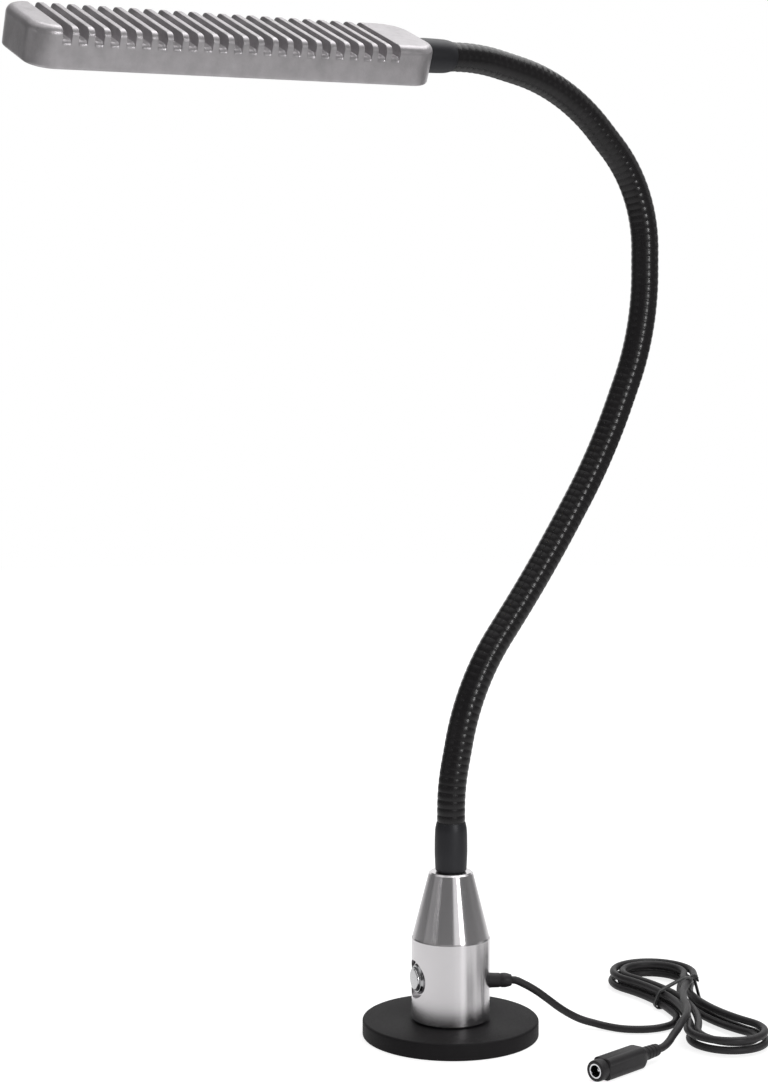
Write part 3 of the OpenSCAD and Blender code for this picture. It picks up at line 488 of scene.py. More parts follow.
def finishes():
    """Every finish by name: colour, roughness, metallic, broad grain (scale and share), fine grain
    (scale and spread), then relief and specular level where they aren't the plain ones."""
    scene = bpy.context.scene
    head, neck = scene.work_light_head, scene.work_light_neck
    base, cord = scene.work_light_base, scene.work_light_cord
    rows = {
        "cast": ("cast_aluminium", head.cast, 0.38, 0.7, (110, 0.16), (700, 0.08), 0.05),
        "sleeve": ("shrink_sleeve", neck.sleeve, 0.24, 0, (80, 0.2), (900, 0.03), 0, 0.3),
        "ferrule": ("ferrule_black", neck.ferrule, 0.2, 0, (60, 0.15), (800, 0.03), 0, 0.3),
        "jacket": ("foot_rubber", base.jacket, 0.6, 0, (70, 0.2), (1500, 0.08), 0.03, 0.15),
        "bezel": ("bright_bezel", (0.42, 0.42, 0.43), 0.12, 1.0, (60, 0.04), (700, 0.04)),
        "button": ("satin_button", (0.6, 0.6, 0.61), 0.28, 1.0, (60, 0.05), (900, 0.06), 0.004),
        "cord": ("cord_jacket", cord.jacket, 0.45, 0, (90, 0.25), (1200, 0.08), 0.02, 0.25),
        "socket": ("socket_moulding", cord.jacket, 0.48, 0, (80, 0.2), (1600, 0.08), 0.02, 0.25),
        "plated": ("bright_plate", (0.78, 0.78, 0.8), 0.14, 1.0, (60, 0.04), (700, 0.04)),
        "tie": ("tie_plastic", (0.012, 0.012, 0.013), 0.4, 0, (90, 0.2), (900, 0.08), 0.01),
        "steel": ("plain_steel", (0.46, 0.46, 0.48), 0.32, 1.0, (60, 0.08), (700, 0.08), 0.004),
        "nickel": ("nickel_plate", (0.7, 0.69, 0.67), 0.2, 1.0, (60, 0.05), (700, 0.05)),
        "plastic": ("switch_moulding", (0.03, 0.03, 0.032), 0.5, 0, (80, 0.15), (900, 0.06), 0.01),
        "wire": ("wire_insulation", (0.3, 0.03, 0.025), 0.42, 0, (80, 0.15), (900, 0.06), 0.01),
        "board": ("board_mask", (0.78, 0.79, 0.78), 0.35, 0, (80, 0.04), (900, 0.06), 0.004),
        "chip": ("chip_phosphor", (0.78, 0.6, 0.14), 0.3, 0, (300, 0.08), (1500, 0.06), 0.004),
        "gasket": ("gasket_rubber", (0.02, 0.02, 0.021), 0.6, 0, (80, 0.15), (1200, 0.06), 0.01),
    }
    looks = {look: finish(*row) for look, row in rows.items()}
    looks["body"] = finish(
        "turned_aluminium", base.body, 0.23, 1.0, (40, 0.03), (260, 0.03),
        stretch=RINGS, anisotropic=0.8,
    )
    looks["brass"] = finish(
        "turned_brass", (0.62, 0.47, 0.2), 0.3, 1.0, (60, 0.08), (500, 0.06), 0.002, stretch=RINGS
    )
    looks["lens"] = finish(
        "lens_glass", (0.96, 0.98, 0.98), 0.06, 0, (40, 0.01), (200, 0.02), glass=True
    )
    return looks


# Solids that stay in view

NODE_FINISH = {
    "steel": ["magnet_plate", "foot_stud", "board_screws", "lens_screws"]
    + [f"arm_core_{k}" for k in range(LINKS)],
    "nickel": ["magnet_discs"],
    "body": ["base_body", "body_plug"],
    "brass": ["switch_nut", "lower_nut", "lower_nipple", "upper_nipple", "switch_contacts"],
    "plastic": ["switch_carrier"],
    "wire": ["base_wires"] + [f"arm_lead_{k}" for k in range(LINKS)],
    "board": ["led_board"],
    "chip": ["led_chips"],
    "gasket": ["lens_gasket"],
    "lens": ["lens"],
    "plated": ["jack_sleeve", "jack_pin"],
}


class WORKLIGHT_OT_solids(bpy.types.Operator):
    """Gives each solid that stays in view its finish"""

    bl_idname = "worklight.solids"
    bl_label = "Dress the solids"

    def execute(self, context):
        looks = finishes()
        for look, nodes in NODE_FINISH.items():
            for node in nodes:
                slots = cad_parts[node].data.materials
                slots.clear()
                slots.append(looks[look])
        return {"FINISHED"}


# Head

HEAD_SIZES = (
    "width", "height", "root_block", "tip_block", "slot_pitch", "slot_depth",
    "root_corner", "tip_corner", "top_edge",
)

# Half a slot from its middle outwards, drawn for a pitch and a depth: distance along the head, and
# height over the slot's floor
SHAPE_PITCH, SHAPE_DEPTH = 7.6, 7.5
SLOT_SHAPE = np.array(
    [
        [0, 0], [1.3, 0], [1.75, 0.1], [2.06, 0.38], [2.2, 0.85], [2.28, 3.5],
        [2.34, 6.6], [2.4, 6.98], [2.56, 7.28], [2.82, 7.45], [3.15, 7.5], [3.8, 7.5],
    ]
)
SLOT_LIP, LIP_FADE = 2.4, 1.5  # rounding of a slot's mouth, and how fast it ends up the fin
CREASE = 0.5  # rounding where a slot meets the outside
CORNER_STEPS, ACROSS_STEPS = 17, 41
STATION_GAP = 0.05

# Below the top: where the side begins, the lower edge's rounding, then the lens's seat and the
# hollow above it, each with its inset, height and least distance from the root
SIDE_TOP, LOWER_EDGE, EDGE_START, EDGE_STEPS = 0.6, 1.5, 0.25, 6
LENS_MOUTH, LENS_INSET, LENS_SEAT, LENS_ROOT = 1.85, 1.9, -6.5, 6.8
HOLLOW_INSET, HOLLOW_ROOF, HOLLOW_ROOT = 6.5, -1.7, 14.9
LEAST_CORNER = 1


def head_sizes():
    """The head's sizes in millimetres, with its slots and its whole length."""
    head = bpy.context.scene.work_light_head
    sizes = SimpleNamespace(**{n: getattr(head, n) / MM for n in HEAD_SIZES})
    sizes.slot_count = head.slot_count
    finned = (head.slot_count - 1) * sizes.slot_pitch
    sizes.length = sizes.root_block + finned + sizes.tip_block
    return sizes


def outline_depth(x, y, head):
    """How far a place lies inside the head's outline, seen from above: the distance to the edge of
    a box with round corners."""
    total, half = head.length, head.width / 2
    r = np.where(x < total / 2, head.root_corner, head.tip_corner)
    px = np.abs(x - total / 2) - (total / 2 - r)
    py = np.abs(y) - (half - r)
    outside = np.hypot(np.maximum(px, 0), np.maximum(py, 0))
    return r - outside - np.minimum(np.maximum(px, py), 0)


def half_width(x, head):
    """Half the head's width at a distance from its root, on round corners."""
    total, half = head.length, head.width / 2
    a, b = head.root_corner, head.tip_corner
    near = np.sqrt(np.maximum(a**2 - np.maximum(a - x, 0) ** 2, 0)) - a
    far = np.sqrt(np.maximum(b**2 - np.maximum(b - (total - x), 0) ** 2, 0)) - b
    return half + near + far


def slot_stations(head):
    """Distances from the root and heights over the slot's floor along the finned top."""
    pitch, depth, count = head.slot_pitch, head.slot_depth, head.slot_count
    side = SLOT_SHAPE * [pitch / SHAPE_PITCH, depth / SHAPE_DEPTH]
    one = np.concatenate([side[::-1] * [-1, 1], side[1:-1]])
    starts = head.root_block + np.arange(count)[:, None] * pitch
    x = (starts + one[None, :, 0]).ravel()
    h = np.broadcast_to(one[None, :, 1], (count, len(one))).ravel()
    return np.append(x, starts[-1, 0] + pitch / 2), np.append(h, depth)


def edge_drop(depth, radius):
    """How far a rounded edge lies below the flat, at a depth in from the side."""
    t = np.clip(radius - depth, 0, radius)
    return radius - np.sqrt(radius**2 - t**2)


def soft_least(a, b, k):
    """The lesser of two heights with the crease between them rounded over k."""
    h = np.clip(0.5 + 0.5 * (b - a) / k, 0, 1)
    return b + (a - b) * h - k * h * (1 - h)


def inner_outline(edge, inset, head):
    """The head's outline moved in: each corner keeps its centre while its radius shrinks, down to
    the least one."""
    total, half = head.length, head.width / 2
    corner = np.where(edge[:, 0] < total / 2, head.root_corner, head.tip_corner)
    middle = [total / 2, 0] + 0 * edge
    reach = np.stack([total / 2 - corner, half - corner], axis=1)
    out = edge - middle - np.clip(edge - middle, -reach, reach)
    out /= np.maximum(np.linalg.norm(out, axis=1, keepdims=True), 1e-9)
    kept = np.maximum(corner - inset, LEAST_CORNER)
    reach = np.stack([total / 2 - inset - kept, half - inset - kept], axis=1)
    return middle + np.clip(edge - middle, -reach, reach) + out * kept[:, None]


def head_top(head):
    """The finned top: the lesser of a blank with round edges and the slots' floors and fins."""
    half_h = head.height / 2
    turn = np.linspace(0, np.pi / 2, CORNER_STEPS)
    sx, sh = slot_stations(head)
    root = head.root_corner * (1 - np.cos(turn))
    tip = head.length - head.tip_corner * (1 - np.cos(turn[::-1]))
    root, tip = root[root < sx[0] - STATION_GAP], tip[tip > sx[-1] + STATION_GAP]
    x = np.concatenate([root, sx, tip])
    rise = np.concatenate([np.full(len(root), sh[0]), sh, np.full(len(tip), sh[-1])])[:, None]
    v = np.sin(np.linspace(-np.pi / 2, np.pi / 2, ACROSS_STEPS))
    y = half_width(x, head)[:, None] * v[None, :]
    x = np.broadcast_to(x[:, None], y.shape)
    depth = np.maximum(outline_depth(x, y, head), 0)
    blank = half_h - edge_drop(depth, head.top_edge)
    lip = edge_drop(depth, SLOT_LIP) * np.clip(1 - LIP_FADE * rise / head.slot_depth, 0, 1)
    floor = half_h - head.slot_depth + rise - lip
    return np.stack([x, y, soft_least(blank, floor, CREASE)], axis=-1)


def head_rings(top, head):
    """Rings from the top's rim down the side, round the lower edge and up into the hollow."""
    rim = np.concatenate([top[:, -1], top[-1, -2::-1], top[-2::-1, 0], top[0, 1:-1]])
    low, r, free = -head.height / 2, LOWER_EDGE, -np.inf
    steps = [(0, SIDE_TOP, free), (0, low + r, free)]
    for t in np.linspace(EDGE_START, np.pi / 2, EDGE_STEPS):
        steps.append((r - r * math.cos(t), low + r - r * math.sin(t), free))
    steps += [(LENS_MOUTH, low, LENS_ROOT), (LENS_INSET, LENS_SEAT, LENS_ROOT)]
    steps += [(HOLLOW_INSET, z, HOLLOW_ROOT) for z in (LENS_SEAT, HOLLOW_ROOF)]
    rings = [rim]
    for inset, z, least in steps:
        ring = np.column_stack([inner_outline(rim[:, :2], inset, head), np.full(len(rim), z)])
        ring[:, 0] = np.maximum(ring[:, 0], least)
        rings.append(ring)
    return np.stack(rings)


class WORKLIGHT_OT_head(bpy.types.Operator):
    """Cast housing with its fins, rounded edges and the recess for the lens"""

    bl_idname = "worklight.head"
    bl_label = "Lamp head"

    def execute(self, context):
        head, place = head_sizes(), head_frame()
        top = head_top(head)
        rings = head_rings(top, head)
        side = len(top)
        far = side + ACROSS_STEPS - 2
        roof = np.stack([rings[-1, :side], rings[-1, far : far + side][::-1]])
        parts = [
            surface(placed(top, place), False, False),
            surface(placed(rings, place)),
            surface(placed(roof, place), False, False),
        ]
        piece("head_casting", parts, "cast", "head", ["head_housing"], smooth=28)
        return {"FINISHED"}


# Gooseneck

NECK_SIDES, RIB_STEPS, BORE_STEPS = 40, 12, 12

# Ferrule: its round foot, its belly as distances below the mouth and radii, its mouth and its bore
FERRULE_FOOT, FOOT_ROUND = (6.3, 1.5), 1.5
FERRULE_BELLY = np.array(
    [
        [17, 8.08], [12, 8.12], [8.5, 8.07], [5.5, 7.98],
        [4, 7.89], [2.5, 7.68], [1.2, 7.38], [0.5, 7.2],
    ]
)
BELLY_START, BELLY_END, BELLY_STEPS = [0.05, 0, 1], [-0.3, 0, 1], 36
FERRULE_MOUTH = [[7.12, 0.2], [7.02, 0.1], [7.02, 1.2], [5.35, 1.2]]
FERRULE_BORE = 5.35


class WORKLIGHT_OT_neck(bpy.types.Operator):
    """Ribbed sleeve of the gooseneck, one length over each joint"""

    bl_idname = "worklight.neck"
    bl_label = "Gooseneck sleeve"

    def execute(self, context):
        neck = context.scene.work_light_neck
        outer, inner = neck.diameter / MM / 2, neck.bore / MM / 2
        ends = link_ends()
        middles = (ends[1:-2] + ends[2:-1]) / 2
        cuts = np.concatenate([[0], middles, [NECK_LENGTH]])
        a = round_turn(NECK_SIDES)[None, :, None]
        for k in range(NECK_JOINTS):
            first, last = cuts[k], cuts[k + 1]
            s = np.linspace(first, last, int((last - first) / neck.rib_pitch * MM * RIB_STEPS))
            along = 2 * np.mod(s / (neck.rib_pitch / MM), 1) - 1
            r = outer - neck.rib_depth / MM * along**2
            s = np.concatenate([s, np.linspace(last, first, BORE_STEPS)])
            r = np.concatenate([r, np.full(BORE_STEPS, inner)])[:, None, None]
            h = np.radians(neck_heading(s))
            across = np.stack([np.sin(h), 0 * h, -np.cos(h)], axis=1)[:, None]
            ring = np.cos(a) * across + np.sin(a) * np.array([0, 1.0, 0])
            parts = [surface((neck_line(s)[:, None] + r * ring) * MM, True)]
            made = piece(f"neck_sleeve_{k + 1}", parts, "sleeve", smooth=50)
            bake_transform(made)
            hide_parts(f"arm_sleeve_{k}", f"arm_sleeve_{k + 1}")
        return {"FINISHED"}


def ferrule_outline(total):
    """Radius and height of a barrel-shaped ferrule: a rounded foot, a slight belly and a shoulder
    drawn in to the sleeve."""
    foot = arc(FERRULE_FOOT, FOOT_ROUND, -90, 0, 8)
    below, radii = FERRULE_BELLY.T
    belly = np.column_stack([radii, 0 * below, total - below])
    belly = smooth_line(belly, BELLY_START, BELLY_END, BELLY_STEPS)[:, ::2]
    mouth = np.array([[r, total - z] for r, z in FERRULE_MOUTH])
    return np.concatenate([foot, belly, mouth, [[FERRULE_BORE, 0]]])


class WORKLIGHT_OT_ferrules(bpy.types.Operator):
    """Smooth black ferrules at both ends of the gooseneck"""

    bl_idname = "worklight.ferrules"
    bl_label = "Ferrules"

    def execute(self, context):
        total = context.scene.work_light_neck.ferrule_length / MM
        outline = ferrule_outline(total)
        low = Matrix.Translation((0, 0, NECK_START - total))
        over = Matrix.Translation((0, 0, total)) @ Matrix.Rotation(math.pi, 4, "X")
        high = neck_end_frame() @ over
        for node, place, body in (("lower_ferrule", low, "base"), ("upper_ferrule", high, "head")):
            parts = turned(outline, place)
            piece(f"{node}_barrel", parts, "ferrule", body, [node], smooth=40)
        return {"FINISHED"}


# Foot and switch

FOOT_SIDES = 160
FACE_RIM, FACE_CHAMFER, FACE_DEPTH = 6, 5.6, 0.25  # flat magnet face, set in from the rim
FOOT_LOW, FOOT_HIGH = 0.9, 1.1  # rounding of the foot's edges
BODY_SEAT = [[21.2, 0], [20.6, 0.25], [19.9, 0.3], [0, 0.3]]  # radius, and depth below the top

# Switch, as radius and distance from the body's axis
BEZEL_OUTLINE = np.concatenate(
    [
        [[5.75, 8.8], [6.5, 8.8], [6.5, 17], [7.35, 17]],
        arc((7.2, 17.3), 0.3, -60, 20, 5),
        [[7.3, 17.55], [7.0, 18.25]],
        arc((6.55, 18.15), 0.45, 15, 90, 6),
        [[6.2, 18.6], [5.95, 18.5], [5.75, 18.2]],
    ]
)
CAP_OUTLINE = np.concatenate(
    [
        [[0, 11.9], [1.65, 11.9], [1.65, 15.4], [5.5, 15.4], [5.5, 19.2]],
        arc((4.9, 19.2), 0.6, 0, 80, 6),
        [[4.4, 19.88], [3, 20.0], [1.5, 20.07], [0, 20.1]],
    ]
)

# Return spring: a helix of wire from the carrier's front to the button's back
SPRING_R, SPRING_WIRE, SPRING_TURNS = 2.35, 0.3, 4
SPRING_STEPS, SPRING_SIDES = 161, 10
SPRING_SEAT, SPRING_TOP, BUTTON_TRAVEL = 10.3, 15.4, 1.2


class WORKLIGHT_OT_foot(bpy.types.Operator):
    """Rubber jacket of the magnetic foot"""

    bl_idname = "worklight.foot"
    bl_label = "Magnetic foot"

    def execute(self, context):
        base = context.scene.work_light_base
        r, h = base.foot_diameter / MM / 2, base.foot_height / MM
        outline = np.concatenate(
            [
                [[0, FACE_DEPTH], [r - FACE_RIM, FACE_DEPTH], [r - FACE_CHAMFER, 0]],
                arc((r - FOOT_LOW, FOOT_LOW), FOOT_LOW, -90, 0, 8),
                arc((r - FOOT_HIGH, h - FOOT_HIGH), FOOT_HIGH, 0, 90, 9),
                [[seat, h - drop] for seat, drop in BODY_SEAT],
            ]
        )
        parts, nodes = turned(outline, Matrix.Identity(4), False, FOOT_SIDES), ["magnet_jacket"]
        piece("foot_jacket", parts, "jacket", "base", nodes, smooth=35)
        return {"FINISHED"}


class WORKLIGHT_OT_switch(bpy.types.Operator):
    """Bezel, button and return spring of the push switch"""

    bl_idname = "worklight.switch"
    bl_label = "Push switch"

    def execute(self, context):
        place = switch_frame()
        ring, nodes = turned(BEZEL_OUTLINE, place), ["switch_bezel"]
        piece("switch_bezel_ring", ring, "bezel", "base", nodes, smooth=30)
        face, nodes = turned(CAP_OUTLINE, place, False), ["switch_button"]
        piece("switch_button_cap", face, "button", "button", nodes, smooth=30)
        turns = np.linspace(0, SPRING_TURNS * 2 * np.pi, SPRING_STEPS)
        rise = np.linspace(SPRING_SEAT + SPRING_WIRE, SPRING_TOP - SPRING_WIRE, SPRING_STEPS)
        coil = np.stack([SPRING_R * np.cos(turns), SPRING_R * np.sin(turns), rise], axis=1)
        wound = [surface(placed(tube(coil, SPRING_WIRE, SPRING_SIDES), place))]
        name, nodes = "switch_spring_coil", ["switch_spring"]
        spring = piece(name, wound, "steel", "base", nodes, smooth=60)
        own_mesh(spring)
        return {"FINISHED"}


# Cord

CORD_STEP, CORD_SIDES = 1.6, 18
RUN_STEPS, HANK_STEPS, TAIL_STEPS = 160, 600, 180
RUN_STRAIGHT = 1.2
HANK_CENTRE, HANK_TURN = (122.5, -36), -108
HANK_HALF, HANK_END, HANK_WAIST = 75, 22.5, 9.8  # half its length, its ends' radius, half its waist
HANK_STEP, HANK_FLOOR, HANK_LAYER = 5, 3, 4.8
HANK_WOUND, HANK_REVERSE = 3.37, 3.5
LAYER_FROM, LAYER_OVER = 1.5, 0.5  # turns at which the cord climbs to the upper layer
RUN_POINTS = [
    (31.5, -18.2, 25.6), (37, -21, 22), (43, -23, 17.2), (49, -24, 12.4), (55, -24.5, 8.3),
    (61, -26.5, 4.9), (66.5, -30.5, 3), (70.5, -36.5, 2.2), (74.5, -43.5, 2.15),
    (80.5, -48.5, 2.15), (87.5, -51.5, 2.15), (94.5, -52, 2.15), (101, -50.5, 2.2),
    (106.5, -46.5, 2.6),
]
TAIL_POINTS = [
    (144.5, -12.5, 9.8), (138, -19, 12.2), (130.5, -25.5, 13.3), (123.5, -32, 13.5),
    (117, -38.5, 13.5), (112, -45, 13.5), (107, -52, 13.5), (102.5, -59.5, 13.5),
    (97, -66.5, 13.4), (91.5, -72, 12.9), (86, -75.5, 12), (81.5, -78.5, 10.3),
    (77, -80.5, 8.4), (72.5, -83, 6.6),
]

# Strain relief: radius, and distance from the body's axis inside it or from its surface outside
RELIEF_SIDES = 48
RELIEF_INSIDE = [[1.95, 13.1], [5, 13.1], [5, 15.1], [3.75, 15.1]]
RELIEF_OUTSIDE = [
    [3.75, 0.4], [3.68, 1.2], [3.58, 4.8], [3.4, 5], [3.4, 5.5], [3.58, 5.8],
    [3.62, 7.6], [3.45, 8.6], [2.95, 10.3], [2.65, 10.9], [1.95, 11],
]


def hank_places(t):
    """Places of the wound cord at t turns: half a waist, an end, a waist, an end and half a waist,
    all arcs that meet smoothly, drawn in by one step a turn and out again in an upper layer."""
    c = HANK_HALF - HANK_END
    waist = (c**2 + HANK_WAIST**2 - HANK_END**2) / 2 / (HANK_END - HANK_WAIST)
    sweep = np.pi / 2 - math.atan2(HANK_WAIST + waist, c)
    end_sweep = np.pi / 2 + sweep
    run, end_run = waist * sweep, 2 * HANK_END * end_sweep
    around = 4 * run + 2 * end_run
    off = HANK_STEP * np.minimum(t, HANK_REVERSE - t)
    s = (t - np.floor(t)) * around
    r_end, r_waist, far = HANK_END - off, waist + off, HANK_WAIST + waist
    g1 = s / waist
    g2 = end_sweep - (s - run) / HANK_END
    g3 = (s - 2 * run - end_run) / waist
    g4 = end_sweep - (s - 3 * run - end_run) / HANK_END
    g5 = (around - s) / waist
    ends = run, run + end_run, 3 * run + end_run, 3 * run + 2 * end_run
    part = [s < end for end in ends]
    along = [-r_waist * np.sin(g1), -c - r_end * np.cos(g2)]
    along += [r_waist * np.sin(g3), c + r_end * np.cos(g4)]
    across = [r_waist * np.cos(g1) - far, -r_end * np.sin(g2)]
    across += [far - r_waist * np.cos(g3), r_end * np.sin(g4)]
    p = np.select(part, along, r_waist * np.sin(g5))
    q = np.select(part, across, r_waist * np.cos(g5) - far)
    u = np.clip((t - LAYER_FROM) / LAYER_OVER, 0, 1)
    a = math.radians(HANK_TURN)
    x = HANK_CENTRE[0] + p * math.cos(a) - q * math.sin(a)
    y = HANK_CENTRE[1] + p * math.sin(a) + q * math.cos(a)
    return np.stack([x, y, HANK_FLOOR + HANK_LAYER * u * u * (3 - 2 * u)], axis=1)


def cord_path():
    """The whole cord's line in metres, at even steps: from the strain relief to the hank, round its
    turns, and on to the socket."""
    d = bpy.context.scene.work_light_cord.diameter / MM
    turn = math.radians(RELIEF_TURN)
    out = np.array([math.cos(turn), math.sin(turn), 0])
    leave = out * (BODY_RADIUS + RELIEF_LENGTH) + [0, 0, RELIEF_HEIGHT]
    coil = hank_places(np.linspace(0, HANK_WOUND, HANK_STEPS))
    first, last = unit(coil[1] - coil[0]), unit(coil[-1] - coil[-2])
    begin, end = coil[0] - d * first, coil[-1] + d * last
    socket = np.array(socket_frame())
    axis, mouth = socket[:3, 2], socket[:3, 3]
    rear = mouth + axis * SOCKET_LENGTH
    run = np.array([leave, leave + RUN_STRAIGHT * out, *RUN_POINTS, begin - d * first, begin])
    tail = np.array([end, end + d * last, *TAIL_POINTS, rear + d * axis, rear])
    run = smooth_line(run, out, first, RUN_STEPS)
    tail = smooth_line(tail, last, -axis, TAIL_STEPS)
    whole = np.concatenate([run[:-1], [begin], coil, [end], tail[1:]])
    return spaced(whole, CORD_STEP) * MM


class WORKLIGHT_OT_cord(bpy.types.Operator):
    """Cord from the body through the hank to the socket, with its strain relief"""

    bl_idname = "worklight.cord"
    bl_label = "Cord"

    def execute(self, context):
        radius = context.scene.work_light_cord.diameter / 2
        parts = [surface(tube(cord_path(), radius, CORD_SIDES))]
        made = piece("cord", parts, "cord", "base", smooth=60)
        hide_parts("cord_run", "cord_hank", "cord_tail")
        outside = [[r, BODY_RADIUS + z] for r, z in RELIEF_OUTSIDE]
        outline = np.array(RELIEF_INSIDE + outside)
        parts = turned(outline, relief_frame(), sides=RELIEF_SIDES)
        piece("cord_outlet", parts, "cord", "base", ["cord_relief"], smooth=35)
        return {"FINISHED"}


# Tie: its place along the hank, its band as places across it and shares of its thickness, then the
# two ends, twisted round a line that leaves the bundle's top, sinks and moves aside
TIE_AT, TIE_GAP, TIE_THICK, TIE_STEPS = -12.5, 0.2, 0.7, 180
TIE_BAND = [(-2, 0), (-1.2, 1), (0, 0.7), (1.2, 1), (2, 0), (1, 0), (-1, 0)]
TWIST_TURNS, TWIST_R, TWIST_WIRE, TWIST_STEPS, TWIST_SIDES = 2.5, 0.62, 0.6, 60, 10
TWIST_SIDE, TWIST_OUT, TWIST_BACK = 6.5, 5, 3
TWIST_TOP, TWIST_ARCH, TWIST_SINK = 15.6, 1.5, 4


def tie_loop(reach):
    """The tie's line round the bundle: the edge of the least outline round the cords, as seen along
    the hank."""
    low, upper = HANK_WAIST + 1.4, HANK_FLOOR + HANK_LAYER
    lower_cords = [[-low, HANK_FLOOR], [low - 2, HANK_FLOOR]]
    upper_cords = [[low - 4.5, upper], [6.2, 13.3], [3.2, 13.6], [-low + 2, upper]]
    centres = np.array(lower_cords + upper_cords)
    a = np.linspace(-np.pi, np.pi, TIE_STEPS + 1)[:-1] - np.pi / 2
    directions = np.stack([np.cos(a), np.sin(a)], axis=1)
    return centres[np.argmax(centres @ directions.T, axis=0)] + reach * directions


def hank_frame():
    """X along the hank, Y across it."""
    turn = Matrix.Rotation(math.radians(HANK_TURN), 4, "Z")
    return Matrix.Translation((*HANK_CENTRE, 0)) @ turn


class WORKLIGHT_OT_tie(bpy.types.Operator):
    """Flat tie round the waist of the hank, with its twisted ends"""

    bl_idname = "worklight.tie"
    bl_label = "Hank tie"

    def execute(self, context):
        reach = context.scene.work_light_cord.diameter / MM / 2 + TIE_GAP
        inner, outer = tie_loop(reach), tie_loop(reach + TIE_THICK)
        rows = []
        for across, share in TIE_BAND:
            loop = inner + (outer - inner) * share
            rows.append(np.column_stack([np.full(len(loop), TIE_AT + across), loop]))
        u = np.linspace(0, 1, TWIST_STEPS)
        spin = 2 * np.pi * TWIST_TURNS * u
        rise = TWIST_TOP + TWIST_ARCH * np.sin(u * 2) - TWIST_SINK * u**2
        centre = np.column_stack([TIE_AT - TWIST_BACK * u, TWIST_SIDE + TWIST_OUT * u, rise])
        ends = []
        for side in (0, np.pi):
            a = spin + side
            twisted = centre + TWIST_R * np.column_stack([np.cos(a), 0 * a, np.sin(a)])
            ends.append(surface(placed(tube(twisted, TWIST_WIRE, TWIST_SIDES), hank_frame())))
        band = [surface(placed(np.stack(rows), hank_frame()), True)]
        piece("hank_tie_band", band, "tie", "base", ["hank_tie"], smooth=35)
        piece("hank_tie_ends", ends, "tie", "base", smooth=35)
        return {"FINISHED"}


# Socket: radius, distance from the mouth, and how square the section is
SOCKET_BORE_END = 10.5
SOCKET_ROWS = [
    (0, SOCKET_BORE_END, 0), (3.95, SOCKET_BORE_END, 0), (3.95, 0.05, 0), (4.5, 0.05, 0),
    (4.5, -0.63, 0), (3.5, -0.63, 0), (3.5, -0.72, 0), (3.7, -0.85, 0), (4.5, -0.85, 0),
    (4.9, -0.6, 0), (5.06, -0.1, 0), (5.1, 1, 0), (5.1, 3.4, 0), (5.0, 3.9, 0), (4.95, 4.2, 0),
    (4.95, 4.25, 0.6), (5, 4.6, 1), (5, 30.2, 1), (4.9, 31.2, 0.9), (4.3, 33.2, 0.5),
    (3.9, 34, 0.2), (3.6, 34.3, 0),
]
SOCKET_REAR = [(2.95, 45.2, 0), (2.8, 45.8, 0), (2.5, 46, 0), (0, 46, 0)]
SOCKET_FLAT, SOCKET_CORNER, SOCKET_SIDES = 5.2, 2.6, 72
SQUARE_R = 5  # radius at which the square section has its own size
RIBS, RIB_START, RIB_PITCH = 4, 34.6, 2.6
RIB_R, RIB_TAPER, RIB_GROOVE = 3.4, 0.1, 0.35


def socket_section(half, corner, a):
    """A square with round corners as radius against angle: its edge's reach in each direction."""
    c, s = np.abs(np.cos(a)), np.abs(np.sin(a))
    flat = half / np.maximum(c, s)
    k = half - corner
    m = k * (c + s)
    round_part = m + np.sqrt(np.maximum(m**2 - 2 * k**2 + corner**2, 0))
    at_corner = (flat * c > k) & (flat * s > k)
    return np.where(at_corner, round_part, flat)


class WORKLIGHT_OT_socket(bpy.types.Operator):
    """Moulded socket on the cord's end"""

    bl_idname = "worklight.socket"
    bl_label = "Cord socket"

    def execute(self, context):
        rows = list(SOCKET_ROWS)
        for k in range(RIBS):
            z, r = RIB_START + RIB_PITCH * k, RIB_R - RIB_TAPER * k
            rows += [(r, z, 0), (r, z + 1.5, 0)]
            rows += [(r - RIB_GROOVE, z + 1.7, 0), (r - RIB_GROOVE, z + 2.4, 0)]
        r, z, part = np.array(rows + SOCKET_REAR).T[:, :, None]
        a = round_turn(SOCKET_SIDES)
        square = socket_section(SOCKET_FLAT, SOCKET_CORNER, a)
        reach = (1 - part) * r + part * square * (r / SQUARE_R)
        rings = np.stack([reach * np.cos(a), reach * np.sin(a), z + 0 * a], axis=-1)
        parts = [surface(placed(rings, socket_frame()))]
        piece("socket_moulding", parts, "socket", "base", ["jack_shell"], smooth=35)
        return {"FINISHED"}


class WORKLIGHT_OT_declare(bpy.types.Operator):
    """Says what the free cord is: its length, thickness and what is on it"""
    # Works out the cord's path, which nothing then uses

    bl_idname = "worklight.declare"
    bl_label = "Declare the cord"

    def execute(self, context):
        path = cord_path()
        return {"FINISHED"}


# Stage

# Panels of light: azimuth from -Y towards +X, distance, height, width, tallness, power
LIGHTS = {
    "key_box": (3, 1.6, 0.52, 0.24, 0.36, 6),
    "side_strip": (-86, 1.5, 0.5, 0.02, 0.5, 0.2),
    "front_fill": (-14, 1.7, 0.55, 0.55, 0.9, 1.3),
    "left_fill": (-108, 1.5, 0.5, 0.6, 0.8, 0.25),
    "right_fill": (75, 1.5, 0.95, 0.9, 0.9, 1.1),
    "top_panel": (110, 0.72, 1.9, 1.6, 1.6, 15),
}
LIGHT_AIM = Vector((0, 0, 0.25))
SENSOR = 36
WHITE = (1, 1, 1, 1)

# Floor: its size, how it dims with distance where it is mirrored, and its shares of lit and glowing
FLOOR_RADIUS, FLOOR_SIDES = 2.4, 96
FLOOR_FADE = {"From Min": 0.25, "From Max": 1.2, "To Min": 0.79, "To Max": 0.11}
FLOOR_LIT, FLOOR_GLOW = 0.5, 0.8

